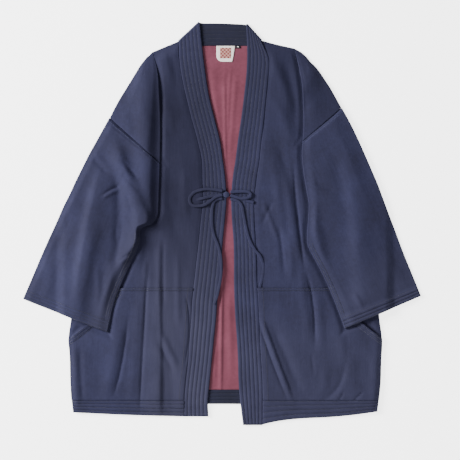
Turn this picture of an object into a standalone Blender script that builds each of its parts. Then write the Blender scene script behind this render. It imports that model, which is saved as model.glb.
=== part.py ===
"""Happi coat of navy cotton, laid flat on its back with the front up.

Sizes are in millimetres and are turned to metres when a mesh is made. +X is to the right
as the coat is looked at, +Y runs up to the neck, +Z is up, and z = 0 is the surface the
coat lies on. Sides are named as the wearer has them, so the right front lies at -X.
"Out" is the distance from the middle of the coat towards a side, whichever side it is.
"""

import math

import bmesh
import bpy
import numpy as np

MM = 0.001

# Cloth thicknesses and the clearance that neighbouring pieces keep
CLOTH = 1.6
POCKET_CLOTH = 1.4
LINING_CLOTH = 1.0
HEM_CLOTH = 3.6
BACK_HEM_CLOTH = 1.2
COLLAR_CLOTH = 2.8
LABEL_CLOTH = 0.8
GAP = 0.3
SEAM_GAP = 0.4
COLLAR_LAP = 2.0
COLLAR_EDGE_GAP = 0.6
ARMHOLE_GAP = 1.2

# Heights of the layers, each a middle of the wall that lies on the one below
BACK_MID = CLOTH / 2
FRONT_MID = CLOTH + GAP + CLOTH / 2
LINING_MID = CLOTH + GAP + LINING_CLOTH / 2
BACK_HEM_MID = CLOTH + GAP + BACK_HEM_CLOTH / 2
HEM_MID = CLOTH + GAP + HEM_CLOTH / 2
FRONT_TOP = FRONT_MID + CLOTH / 2
POCKET_TOP = FRONT_TOP + GAP + POCKET_CLOTH

# The collar band, which lies on the floor behind the neck and folds over at both shoulders
NECK_MID = COLLAR_CLOTH / 2
NECK_TURN_RADIUS = 1.9
COLLAR_MID = NECK_MID + 2 * NECK_TURN_RADIUS
COLLAR_RIBS = 6
COLLAR_RIB_HEIGHT = 0.5
COLLAR_TOP = COLLAR_MID + COLLAR_CLOTH / 2 + COLLAR_RIB_HEIGHT

# The tuck where each shoulder folds over the chest
TUCK_RADIUS = 1.15
FLAP_FALL = 1.6

# Lower edges, and how far an edge that passes the back panel sinks towards the floor
HEM_BAND_TOP = -352.0
BACK_EDGE_MIDDLE = -359.0
BACK_EDGE_SIDE_DROP = 15.0
BACK_HALF_WIDTH = 300.0
SINK = 1.6
SINK_LENGTH = 14.0

# Sleeves: the air between the two layers, and the slope down from the body to the floor
SLEEVE_AIR = 0.7
SLEEVE_SLOPE_START = 12.0
SLEEVE_SLOPE_LENGTH = 22.0
CUFF_HEM = 18.0
CUFF_RIBS = 3
CUFF_RIB_HEIGHT = 0.7

# Ties: flat tapes of the coat's cloth
TIE_WIDTH = 6.0
TIE_CLOTH = 1.5

# Collar edges on the fronts, each row: y, inner edge out, outer edge out
COLLAR_RIGHT = (
    (-384.5, 27.0, 76.0),
    (-352.0, 28.0, 76.0),
    (-312.0, 24.0, 73.0),
    (-272.0, 20.0, 68.0),
    (-232.0, 16.0, 65.0),
    (-192.0, 12.0, 62.0),
    (-152.0, 9.0, 60.0),
    (-112.0, 5.0, 55.0),
    (-72.0, 1.0, 50.5),
    (-32.0, -2.0, 46.0),
    (8.0, -6.0, 42.0),
    (48.0, -9.0, 38.0),
    (88.0, -7.0, 39.0),
    (128.0, -2.0, 40.5),
    (168.0, 4.0, 49.0),
    (208.0, 14.0, 60.0),
    (248.0, 24.0, 70.0),
    (288.0, 31.0, 79.0),
    (328.0, 36.0, 85.0),
)
COLLAR_LEFT = (
    (-401.7, 42.0, 81.0),
    (-352.0, 36.0, 82.0),
    (-312.0, 33.0, 81.0),
    (-272.0, 32.0, 78.5),
    (-232.0, 30.0, 76.0),
    (-192.0, 27.0, 74.5),
    (-152.0, 25.0, 72.5),
    (-112.0, 24.0, 70.0),
    (-72.0, 24.0, 69.0),
    (-32.0, 23.0, 67.0),
    (8.0, 20.0, 64.5),
    (48.0, 18.5, 64.5),
    (88.0, 21.0, 68.5),
    (128.0, 27.0, 75.0),
    (168.0, 32.0, 79.0),
    (208.0, 38.0, 84.0),
    (248.0, 43.0, 88.0),
    (288.0, 48.0, 92.0),
    (328.0, 50.0, 94.0),
)

# Where the collar folds over, each row: inner end out, inner end y, outer end out, outer end y
NECK_FOLD_RIGHT = (46.0, 401.5, 88.0, 364.0)
NECK_FOLD_LEFT = (50.0, 396.0, 80.0, 366.0)

# The collar behind the neck, each row: seam edge x, seam edge y, free edge x, free edge y
NECK_ROWS = (
    (-66.0, 357.5, -36.0, 397.5),
    (-34.0, 357.0, -16.0, 398.5),
    (2.0, 357.0, 4.0, 399.0),
    (34.0, 357.0, 24.0, 397.0),
    (60.0, 357.5, 40.0, 394.0),
)

# Rows of each front above the sleeve's seam. Each runs from the collar to the fold line and
# out to the edge: y at the collar, y at the fold, edge out, edge y, turn in degrees of the
# tuck, length of the tuck
SHOULDER_RIGHT = (
    (128.0, 122.0, 224.0, 212.0, 180.0, 12.0),
    (158.0, 148.0, 213.0, 234.0, 180.0, 12.0),
    (190.0, 178.0, 203.0, 252.0, 180.0, 12.0),
    (224.0, 208.0, 193.0, 268.0, 180.0, 11.0),
    (258.0, 238.0, 183.5, 284.5, 170.0, 9.0),
    (290.0, 268.0, 174.0, 300.5, 150.0, 5.0),
    (320.0, 298.0, 162.5, 320.0, 120.0, 2.5),
    (345.0, 320.0, 153.0, 333.0, 75.0, 2.0),
    (364.0, 338.0, 149.0, 338.0, 50.0, 1.6),
)
SHOULDER_LEFT = (
    (166.0, 165.0, 239.0, 231.0, 180.0, 12.0),
    (192.0, 188.0, 228.0, 251.0, 180.0, 12.0),
    (218.0, 210.0, 216.5, 271.5, 180.0, 12.0),
    (244.0, 232.0, 206.0, 287.5, 180.0, 11.0),
    (270.0, 254.0, 196.0, 302.5, 170.0, 9.0),
    (296.0, 276.0, 186.0, 315.0, 150.0, 5.0),
    (322.0, 300.0, 177.0, 326.0, 120.0, 2.5),
    (346.0, 322.0, 168.0, 336.5, 75.0, 2.0),
    (364.5, 340.0, 158.0, 343.5, 50.0, 1.6),
)

# The fold line of the shoulder and its run down the front, each row: y, out
FOLD_RIGHT = (
    (-352.0, 152.0),
    (-100.0, 140.0),
    (60.0, 126.0),
    (122.0, 124.0),
    (228.0, 124.0),
    (268.0, 126.0),
    (298.0, 128.0),
    (320.0, 132.5),
    (338.0, 139.0),
)
FOLD_LEFT = (
    (-352.0, 176.0),
    (-100.0, 168.0),
    (60.0, 163.0),
    (148.0, 160.0),
    (188.0, 163.0),
    (248.0, 162.0),
    (288.0, 159.0),
    (322.0, 153.0),
    (340.0, 147.0),
)

# Side edge of the body, each row: y, out
SIDE_RIGHT = (
    (-376.0, 296.0),
    (-352.0, 300.0),
    (-324.0, 302.0),
    (-260.0, 304.0),
    (-228.0, 306.5),
    (-196.0, 302.0),
    (-60.0, 299.0),
    (66.0, 294.0),
    (212.0, 223.0),
)
SIDE_LEFT = (
    (-374.0, 311.0),
    (-352.0, 313.0),
    (-324.0, 316.0),
    (-272.0, 318.0),
    (-228.0, 319.5),
    (-196.0, 315.0),
    (-60.0, 312.0),
    (84.0, 304.0),
    (231.0, 238.0),
)

# Shoulder edge of the back panel from the armhole to the neck, each row: y, right out, left out
BACK_ROWS = (
    (-352.0, 299.0, 312.0),
    (-290.0, 302.0, 316.5),
    (-228.0, 305.5, 318.5),
    (-196.0, 301.0, 314.0),
    (-60.0, 298.0, 311.0),
    (66.0, 293.0, 304.0),
    (140.0, 257.0, 278.0),
    (212.0, 222.0, 246.0),
    (250.0, 202.0, 227.0),
    (284.0, 182.0, 207.0),
    (320.0, 161.0, 180.0),
    (343.0, 140.0, 157.0),
    (356.5, 108.0, 112.0),
)

# Lower edge of each front, each row: out, y
LOWER_EDGE_RIGHT = ((76.0, -384.5), (140.0, -383.0), (204.0, -381.0), (296.0, -376.5))
LOWER_EDGE_LEFT = (
    (81.0, -401.2),
    (100.0, -396.5),
    (126.0, -392.0),
    (156.0, -389.0),
    (216.0, -386.0),
    (256.0, -382.5),
    (311.0, -375.0),
)

# Top of each pocket: its level, where its slanted mouth starts, and where the mouth ends
POCKET_TOP_Y = -128.0
POCKET_MOUTH_START = {"right": 206.0, "left": 222.0}
POCKET_MOUTH_END_Y = -229.0
POCKET_MOUTH_CURVE = 1.45
POCKET_MOUTH_RISE = 0.5

# Sleeves, each row from the armhole to the cuff: outer edge out, y, inner edge out, y
SLEEVE_RIGHT = (
    (224.0, 212.0, 124.6, 122.0),
    (246.0, 172.0, 125.0, 98.0),
    (264.0, 140.0, 126.0, 70.0),
    (280.0, 108.0, 127.0, 42.0),
    (292.0, 84.0, 129.0, 18.0),
    (302.0, 62.0, 140.0, 1.0),
    (308.0, 50.0, 156.0, -5.0),
    (315.0, 36.0, 167.0, -13.0),
    (324.0, 16.0, 163.5, -36.0),
    (335.0, -8.0, 171.0, -60.0),
    (347.0, -34.0, 184.0, -88.0),
    (362.0, -68.0, 200.0, -122.0),
    (378.0, -106.0, 217.0, -160.0),
    (397.0, -150.0, 228.5, -216.0),
)
SLEEVE_LEFT = (
    (239.0, 231.0, 161.5, 165.0),
    (256.0, 200.0, 160.0, 136.0),
    (272.0, 167.0, 163.0, 104.0),
    (285.0, 138.0, 168.5, 70.0),
    (298.0, 108.0, 173.5, 40.0),
    (310.0, 80.0, 172.5, 10.0),
    (322.0, 48.0, 170.0, -20.0),
    (334.0, 16.0, 171.5, -42.0),
    (345.0, -12.0, 183.0, -66.0),
    (356.0, -42.0, 197.0, -92.0),
    (366.0, -68.0, 212.0, -124.0),
    (380.0, -102.0, 226.5, -158.0),
    (397.0, -144.0, 245.0, -208.5),
)

# Main creases, each row: start out, start y, end out, end y, half width, height
FRONT_CREASES_RIGHT = (
    (121.0, 336.0, 103.0, 282.0, 9.0, 2.4),
    (98.0, 262.0, 84.0, 150.0, 12.0, 1.4),
    (136.0, -70.0, 138.0, -200.0, 14.0, 2.4),
    (138.0, -200.0, 146.0, -390.0, 15.0, 3.4),
    (124.0, -226.0, 82.0, -318.0, 10.0, 3.2),
    (214.0, -250.0, 238.0, -390.0, 15.0, 2.6),
    (292.0, -250.0, 291.0, -380.0, 9.0, 2.0),
)
FRONT_CREASES_LEFT = (
    (93.0, 334.0, 134.0, 232.0, 9.0, 3.0),
    (101.0, 236.0, 140.0, 130.0, 9.0, 2.6),
    (130.0, 110.0, 144.0, 0.0, 10.0, 2.8),
    (144.0, 0.0, 163.0, -112.0, 11.0, 3.0),
    (163.0, -112.0, 178.0, -262.0, 12.0, 3.0),
    (96.0, -218.0, 150.0, -362.0, 11.0, 4.0),
    (250.0, -272.0, 200.0, -352.0, 12.0, 2.4),
    (300.0, -300.0, 286.0, -372.0, 9.0, 1.8),
)
SLEEVE_CREASES_RIGHT = (
    (192.0, 150.0, 214.0, -40.0, 15.0, 2.4),
    (276.0, 60.0, 304.0, -120.0, 15.0, 2.6),
    (230.0, 20.0, 262.0, -90.0, 13.0, 1.6),
)
SLEEVE_CREASES_LEFT = (
    (248.0, 160.0, 308.0, -110.0, 18.0, 2.0),
    (186.0, 110.0, 196.0, -60.0, 12.0, 1.6),
    (262.0, -60.0, 300.0, -150.0, 13.0, 1.6),
)

# Lining folds in the opening, each row: y, height
LINING_FOLDS = (
    (-330.0, 0.5),
    (-250.0, 0.8),
    (-120.0, 0.8),
    (0.0, 0.4),
    (120.0, 0.5),
    (220.0, 1.6),
    (300.0, 1.2),
)
LINING_UNDERLAP = 13.0
LINING_FOOT = -331.0
LINING_HEAD = 356.6
BACK_HEM_FOOT = -359.6

# Tie routes, each row: x, y, height of the underside
TIE_ROUTES = {
    "tie_root_right": (
        (-56.0, 47.0, 4.6),
        (-47.0, 49.0, 5.6),
        (-36.0, 52.0, 7.6),
        (-18.0, 56.0, 7.5),
        (1.5, 58.0, 7.5),
    ),
    "tie_root_left": (
        (64.0, 42.5, 7.5),
        (50.0, 46.5, 7.5),
        (34.0, 52.0, 7.5),
        (16.6, 58.0, 7.5),
    ),
    "tie_loop_right": (
        (1.4, 66.0, 9.5),
        (-14.0, 68.5, 9.5),
        (-34.0, 69.5, 8.9),
        (-54.0, 64.0, 7.3),
        (-63.5, 54.0, 6.7),
        (-64.0, 44.0, 6.7),
        (-58.0, 37.0, 7.1),
        (-46.0, 36.0, 8.1),
        (-33.0, 39.0, 9.5),
        (-22.0, 47.0, 9.5),
        (-11.0, 54.5, 9.5),
        (1.4, 58.0, 9.5),
    ),
    "tie_loop_left": (
        (16.7, 64.0, 9.5),
        (28.0, 64.5, 9.5),
        (40.0, 65.0, 9.5),
        (50.0, 64.5, 9.3),
        (57.0, 60.5, 9.3),
        (55.0, 54.5, 9.3),
        (47.0, 51.5, 9.5),
        (36.0, 51.5, 9.5),
        (26.0, 54.5, 9.5),
        (16.7, 57.2, 9.5),
    ),
    "tie_tail_right": (
        (1.4, 51.0, 7.5),
        (-8.0, 50.0, 7.5),
        (-16.0, 44.0, 7.5),
        (-19.5, 30.0, 7.5),
        (-20.0, 0.0, 7.5),
        (-16.0, -22.0, 7.5),
        (-8.0, -43.0, 7.5),
        (-3.0, -62.0, 7.5),
        (-1.5, -82.0, 7.5),
        (-2.0, -102.0, 7.5),
        (-5.5, -124.0, 7.5),
        (-10.0, -144.0, 7.5),
        (-16.0, -160.0, 7.5),
    ),
    "tie_tail_left": (
        (17.0, 50.0, 7.5),
        (26.0, 48.0, 7.5),
        (35.0, 43.0, 7.5),
        (40.0, 34.0, 7.5),
        (43.0, 18.0, 7.5),
        (48.0, -8.0, 7.5),
        (55.0, -32.0, 7.5),
        (66.0, -52.0, 7.5),
        (76.0, -64.0, 7.3),
        (82.0, -80.0, 4.9),
        (82.0, -96.0, 4.6),
        (79.0, -112.0, 4.9),
        (75.5, -126.0, 6.5),
    ),
}
KNOT_CENTRE = (9.0, 58.4)
KNOT_SIZE = (13.6, 12.4, 4.9)

# Labels on the lining, each row: x from, x to, y from, y to
NECK_LABEL = (-11.0, 26.0, 324.0, LINING_HEAD)
SIZE_LABEL = (27.0, 37.0, 351.0, LINING_HEAD)

# Colours
NAVY = (0.028, 0.033, 0.062)
ROSE = (0.30, 0.095, 0.13)
LABEL_WHITE = (0.72, 0.70, 0.68)
LABEL_BLACK = (0.012, 0.012, 0.014)


def material(name, colour, roughness=0.9):
    """A plain cloth finish."""
    made = bpy.data.materials.new(name)
    made.use_nodes = True
    shader = made.node_tree.nodes["Principled BSDF"]
    shader.inputs["Base Color"].default_value = (*colour, 1.0)
    shader.inputs["Roughness"].default_value = roughness
    shader.inputs["Metallic"].default_value = 0.0
    return made


def smoothstep(value):
    """0 below 0, 1 above 1 and a soft curve between."""
    value = np.clip(value, 0.0, 1.0)
    return value * value * (3.0 - 2.0 * value)


def read(table, key, column=1):
    """A value of a table at a key in its first column, by straight lines between its rows."""
    rows = np.array(table, dtype=float)
    order = np.argsort(rows[:, 0])
    return np.interp(key, rows[order, 0], rows[order, column])


def creases(table, out, y):
    """Height of soft ridges along straight lines, at points given by out and y."""
    total = np.zeros_like(out, dtype=float)
    for out_a, y_a, out_b, y_b, half_width, height in table:
        run = np.array((out_b - out_a, y_b - y_a))
        length = float(np.hypot(*run))
        along = ((out - out_a) * run[0] + (y - y_a) * run[1]) / length
        across = ((out - out_a) * run[1] - (y - y_a) * run[0]) / length
        taper = smoothstep(along / 30.0 + 0.5) * smoothstep((length - along) / 30.0 + 0.5)
        total = total + height * np.exp(-((across / half_width) ** 2)) * taper
    return total


def sinking(x, y):
    """How far cloth that passes the lower edge of the back panel sinks to the floor."""
    edge = BACK_EDGE_MIDDLE - BACK_EDGE_SIDE_DROP * (x / BACK_HALF_WIDTH) ** 2
    return SINK * smoothstep((edge - y) / SINK_LENGTH)


def grid_normals(mid, wrap=False, slit=None):
    """Normals of a grid of points, with the columns closed to a ring if wrap is set.

    A slit is the first row above it and the first column that it parts.
    """
    if wrap:
        across = np.roll(mid, -1, axis=1) - np.roll(mid, 1, axis=1)
    else:
        across = np.gradient(mid, axis=1)
    along = np.gradient(mid, axis=0)
    if slit:
        row, column = slit
        along[:row, column:] = np.gradient(mid[:row, column:], axis=0)
        along[row:, column:] = np.gradient(mid[row:, column:], axis=0)
    normals = np.cross(across, along)
    return normals / np.linalg.norm(normals, axis=2, keepdims=True)


def cloth_wall(name, mid, thickness, finish, relief=None, under_relief=None, wrap=False,
               slit=None, up_at=(0, 0)):
    """A closed wall of cloth on a grid of middle points, in rows and columns.

    relief raises the face that looks up at the grid point up_at, and under_relief the other
    face. wrap closes each row to a ring, and a slit parts two rows from a column outwards.
    """
    rows, columns = mid.shape[:2]
    normals = grid_normals(mid, wrap, slit)
    if normals[up_at][2] < 0.0:
        normals = -normals
    upper = thickness / 2 + (np.zeros((rows, columns)) if relief is None else relief)
    lower = thickness / 2 + (np.zeros((rows, columns)) if under_relief is None else under_relief)
    faces_of_wall = (mid + normals * upper[..., None], mid - normals * lower[..., None])
    cell_columns = columns if wrap else columns - 1
    cells = np.ones((rows - 1, cell_columns), dtype=bool)
    if slit:
        cells[slit[0] - 1, slit[1]:] = False

    model = bmesh.new()
    corners = [{}, {}]

    def corner(side, row, column):
        key = (row, column % columns)
        if key not in corners[side]:
            place = faces_of_wall[side][key] * MM
            corners[side][key] = model.verts.new(tuple(place))
        return corners[side][key]

    edge_uses = {}
    for row in range(rows - 1):
        for column in range(cell_columns):
            if not cells[row, column]:
                continue
            keys = ((row, column), (row, (column + 1) % columns),
                    (row + 1, (column + 1) % columns), (row + 1, column))
            model.faces.new([corner(0, *key) for key in keys])
            model.faces.new([corner(1, *key) for key in reversed(keys)])
            for start, end in zip(keys, keys[1:] + keys[:1]):
                edge_uses.setdefault(frozenset((start, end)), []).append((start, end))
    for uses in edge_uses.values():
        if len(uses) == 1:
            start, end = uses[0]
            model.faces.new((corner(0, *end), corner(0, *start), corner(1, *start), corner(1, *end)))
    return finish_mesh(name, model, finish)


def finish_mesh(name, model, finish):
    """Turn a bmesh into a named object with its finish, smooth but for its sharp edges."""
    bmesh.ops.triangulate(model, faces=model.faces[:])
    bmesh.ops.recalc_face_normals(model, faces=model.faces[:])
    mesh = bpy.data.meshes.new(name)
    model.to_mesh(mesh)
    model.free()
    mesh.shade_smooth()
    mesh.set_sharp_from_angle(angle=math.radians(50.0))
    mesh.materials.append(finish)
    made = bpy.data.objects.new(name, mesh)
    bpy.context.scene.collection.objects.link(made)
    return made


class Side:
    """The tables and the direction of one side of the coat."""

    def __init__(self, name):
        right = name == "right"
        self.name = name
        self.sign = -1.0 if right else 1.0
        self.collar = COLLAR_RIGHT if right else COLLAR_LEFT
        self.neck_fold = NECK_FOLD_RIGHT if right else NECK_FOLD_LEFT
        self.shoulder = SHOULDER_RIGHT if right else SHOULDER_LEFT
        self.fold = FOLD_RIGHT if right else FOLD_LEFT
        self.edge = SIDE_RIGHT if right else SIDE_LEFT
        self.lower_edge = LOWER_EDGE_RIGHT if right else LOWER_EDGE_LEFT
        self.mouth_start = POCKET_MOUTH_START[name]
        self.sleeve = SLEEVE_RIGHT if right else SLEEVE_LEFT
        self.front_creases = FRONT_CREASES_RIGHT if right else FRONT_CREASES_LEFT
        self.sleeve_creases = SLEEVE_CREASES_RIGHT if right else SLEEVE_CREASES_LEFT

    def collar_outer(self, y):
        """Outer edge of the collar, where the front is sewn to it."""
        table = [(row[0], row[2]) for row in self.collar]
        table.append((self.neck_fold[3], self.neck_fold[2]))
        return read(table, y)

    def collar_inner(self, y):
        """Inner edge of the collar."""
        table = [(row[0], row[1]) for row in self.collar]
        table.append((self.neck_fold[1], self.neck_fold[0]))
        return read(table, y)

    def open_share(self, out, y):
        """1 where the front is seen, softly 0 where the sleeve lies on it."""
        inner = [(row[3], row[2]) for row in self.sleeve]
        beside = smoothstep((read(inner, y) - 4.0 - out) / 18.0)
        cuff = self.sleeve[-1]
        slope = (cuff[1] - cuff[3]) / (cuff[0] - cuff[2])
        cuff_y = cuff[3] + slope * (out - cuff[2])
        below = smoothstep((cuff_y - 8.0 - y) / 18.0)
        return np.maximum(beside, below)

    def front_relief(self, out, y):
        """Height of the front's creases, nothing at its seams and under the sleeve."""
        from_collar = smoothstep((out - self.collar_outer(y) - 1.0) / 12.0)
        return creases(self.front_creases, out, y) * self.open_share(out, y) * from_collar


POCKET_ROWS = 7
SIDE_ROWS = 7
CHEST_COLUMNS = 7
FLAP_COLUMNS = 4
TUCK_POINTS = 8


def pocket_top_line(side, out):
    """y of the pocket's top edge: level, then along its slanted, curved mouth."""
    end = read(side.edge, POCKET_MOUTH_END_Y)
    share = np.clip((out - side.mouth_start) / (end - side.mouth_start), 0.0, 1.0)
    return POCKET_TOP_Y + (POCKET_MOUTH_END_Y - POCKET_TOP_Y) * share ** (1.0 / POCKET_MOUTH_CURVE)


def tuck_profile(turn, length):
    """Points of the tuck, as distances out from its visible fold and up from the chest."""
    radius = TUCK_RADIUS
    turn = math.radians(turn)
    points = []
    for step in range(4):
        angle = turn * step / 3.0
        points.append((radius * math.sin(angle), radius * (1.0 - math.cos(angle))))
    top = (points[-1][0] + length * math.cos(turn), points[-1][1] + length * math.sin(turn))
    for step in range(4):
        angle = turn * (3 - step) / 3.0
        points.append((top[0] + radius * (math.sin(turn) - math.sin(angle)),
                       top[1] + radius * (math.cos(angle) - math.cos(turn))))
    fold = min(point[0] for point in points[4:])
    return [(point[0] - fold, point[1]) for point in points]


def chest_outs(side, collar_y, last_out):
    """Distances out of the chest columns: under the collar, beside it, and on to the fold."""
    edge = side.collar_outer(collar_y)
    neck_share = smoothstep((collar_y - 300.0) / 40.0)
    first = edge + COLLAR_EDGE_GAP + COLLAR_LAP * neck_share
    lap = COLLAR_LAP - (COLLAR_LAP + COLLAR_EDGE_GAP / 2) * neck_share
    steps = np.arange(CHEST_COLUMNS) / (CHEST_COLUMNS - 1)
    return np.concatenate(([edge - lap], first + (last_out - first) * steps))


def front_grid(side):
    """Middle points of a front, and the slit below its shoulder.

    The columns run out from the collar. Above the sleeve's seam they pass through the tuck
    and on to the shoulder's edge, and below it they lie flat out to the side seam, so the
    two parts are joined by the chest columns alone.
    """
    last = CHEST_COLUMNS + TUCK_POINTS - 1 + FLAP_COLUMNS
    lines = []
    seam_y = side.shoulder[0][0]
    fold_seam_y = side.shoulder[0][1]
    edge_top_out, edge_top_y = side.edge[-2][1], side.edge[-2][0]

    def outs_at(level_y, edge_y):
        fold = read(side.fold, level_y)
        edge = read(side.edge, edge_y)
        inner = chest_outs(side, level_y, fold)
        rest = last - CHEST_COLUMNS
        outer = fold + (edge - fold) * np.arange(1, rest + 1) / rest
        return np.concatenate((inner, outer))

    def hem_line(out):
        return np.full_like(out, HEM_BAND_TOP + SEAM_GAP)

    def underarm_line(out):
        fold = read(side.fold, fold_seam_y)
        share = smoothstep((out - fold) / (edge_top_out - fold)) ** 0.8
        level = seam_y - 8.0 + (fold_seam_y - seam_y) * np.clip(out / fold, 0.0, 1.0)
        return level + (edge_top_y - level) * share

    for row in range(POCKET_ROWS + 1):
        share = row / POCKET_ROWS
        guess = outs_at(HEM_BAND_TOP + (POCKET_TOP_Y - HEM_BAND_TOP) * share,
                        HEM_BAND_TOP + (POCKET_MOUTH_END_Y - HEM_BAND_TOP) * share)
        lines.append((guess, hem_line(guess) * (1 - share) + pocket_top_line(side, guess) * share))
    for row in range(1, SIDE_ROWS + 1):
        share = row / SIDE_ROWS
        guess = outs_at(POCKET_TOP_Y + (seam_y - 8.0 - POCKET_TOP_Y) * share,
                        POCKET_MOUTH_END_Y + (edge_top_y - POCKET_MOUTH_END_Y) * share)
        lines.append((guess, pocket_top_line(side, guess) * (1 - share) + underarm_line(guess) * share))

    mid = []
    for out, y in lines:
        height = FRONT_MID + side.front_relief(out, y)
        mid.append(np.column_stack((side.sign * out, y, height)))

    for number, row in enumerate(side.shoulder):
        collar_y, fold_y, edge_out, edge_y, turn, length = row
        profile = tuck_profile(turn, length)
        fold = read(side.fold, fold_y)
        slope = (edge_y - fold_y) / (edge_out - fold)
        inner = chest_outs(side, collar_y, fold + profile[0][0])
        under_fold_y = fold_y + profile[0][0] * slope
        inner_y = collar_y + (under_fold_y - collar_y) * (inner - inner[0]) / (inner[-1] - inner[0])
        inner, inner_y = inner[:-1], inner_y[:-1]
        start = inner[1]
        shoulder_share = number / (len(side.shoulder) - 1)
        fade = 1.0 - smoothstep((shoulder_share - 0.85) / 0.15)
        under = smoothstep((fold - 6.0 - inner) / 14.0)
        height = FRONT_MID + creases(side.front_creases, inner, inner_y) * under * fade * smoothstep(
            (inner - start) / 12.0)
        points = [(side.sign * a, b, c) for a, b, c in zip(inner, inner_y, height)]
        points += [(side.sign * (fold + a), fold_y + a * slope, FRONT_MID + b) for a, b in profile]
        top_out, top_rise = fold + profile[-1][0], FRONT_MID + profile[-1][1]
        top_y = fold_y + profile[-1][0] * slope
        edge_height = seam_edge_height(side) * (1 - shoulder_share) + FRONT_MID * shoulder_share
        for step in range(1, FLAP_COLUMNS + 1):
            share = step / FLAP_COLUMNS
            points.append((side.sign * (top_out + (edge_out - top_out) * share),
                           top_y + (edge_y - top_y) * share,
                           top_rise + (edge_height - top_rise) * share ** FLAP_FALL))
        mid.append(np.array(points))
    return np.array(mid), (POCKET_ROWS + SIDE_ROWS + 1, CHEST_COLUMNS)


def seam_edge_height(side):
    """Height of the upper sleeve layer at the shoulder end of the armhole seam."""
    out, y = side.sleeve[0][0], side.sleeve[0][1]
    under = under_sleeve(side, np.array([out]), np.array([y]), 0.0)[0]
    return under + CLOTH * 1.5 + SLEEVE_AIR


def under_sleeve(side, out, y, run):
    """Height of a sleeve's underside: on the body, on the pocket, or on the floor.

    run is the distance down the sleeve from the armhole.
    """
    on_front = FRONT_TOP + GAP
    on_back = CLOTH + GAP
    near_shoulder = smoothstep((out - side.sleeve[0][2] - 25.0) / 60.0) * (1.0 - smoothstep(run / 0.05))
    level = on_front - (on_front - on_back) * near_shoulder
    level = level + (POCKET_TOP + POCKET_MOUTH_RISE - FRONT_TOP) * smoothstep((-60.0 - y) / 45.0)
    outside = out - read(side.edge, y)
    return level * (1.0 - smoothstep((outside - SLEEVE_SLOPE_START) / SLEEVE_SLOPE_LENGTH))


SLEEVE_COLUMN_COUNT = 10


def sleeve_rows(side):
    """Rows of a sleeve, with the cuff's hem divided at its raised rows of sewing."""
    rows = [np.array(row) for row in side.sleeve]
    run_out = rows[-1] - rows[-2]
    length = float(np.hypot(run_out[0], run_out[1]))
    seam = rows[1] - rows[0]
    rows[0] = rows[0] + seam * ARMHOLE_GAP / float(np.hypot(seam[2], seam[3]))
    steps = 2 * CUFF_RIBS
    cuff = [rows[-1] - run_out * CUFF_HEM / length * (1.0 - step / steps) for step in range(steps + 1)]
    return rows[:-1] + cuff, len(rows) - 1


def sleeve_grid(side):
    """Rings of a flattened sleeve tube and the relief of its cuff."""
    rows, cuff_start = sleeve_rows(side)
    count = SLEEVE_COLUMN_COUNT
    rings, relief = [], []
    for number, row in enumerate(rows):
        outer = np.array((row[0], row[1]))
        inner = np.array((row[2], row[3]))
        width = float(np.hypot(*(outer - inner)))
        across = (outer - inner) / width
        run = number / (len(rows) - 1)
        half = (CLOTH + SLEEVE_AIR) / 2
        inset = half / width
        shares = inset + (1.0 - 2.0 * inset) * np.arange(count) / (count - 1)
        plan = inner[None, :] + (outer - inner)[None, :] * shares[:, None]
        low = under_sleeve(side, plan[:, 0], plan[:, 1], run) + CLOTH / 2
        edge_fade = np.sin(np.pi * np.clip(shares, 0.0, 1.0)) ** 0.7
        seam_fade = smoothstep((run - 0.02) / 0.12)
        raised = creases(side.sleeve_creases, plan[:, 0], plan[:, 1]) * edge_fade * seam_fade
        high = low + 2 * half + raised
        ring = [(*plan[i], high[i]) for i in range(count)]
        for angle in (60.0, 120.0):
            turn = math.radians(angle)
            place = plan[-1] + across * half * math.sin(turn)
            middle = (high[-1] + low[-1]) / 2
            ring.append((*place, middle + (high[-1] - low[-1]) / 2 * math.cos(turn)))
        ring += [(*plan[i], low[i]) for i in reversed(range(count))]
        for angle in (120.0, 60.0):
            turn = math.radians(angle)
            place = plan[0] - across * half * math.sin(turn)
            middle = (high[0] + low[0]) / 2
            ring.append((*place, middle + (high[0] - low[0]) / 2 * math.cos(turn)))
        rings.append([(side.sign * x, y, z) for x, y, z in ring])
        step = number - cuff_start
        rib = CUFF_RIB_HEIGHT * (0.35 + 0.65 * (step % 2)) if step > 0 else 0.0
        line = np.zeros(len(ring))
        line[:count] = rib
        relief.append(line)
    return np.array(rings), np.array(relief)


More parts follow.
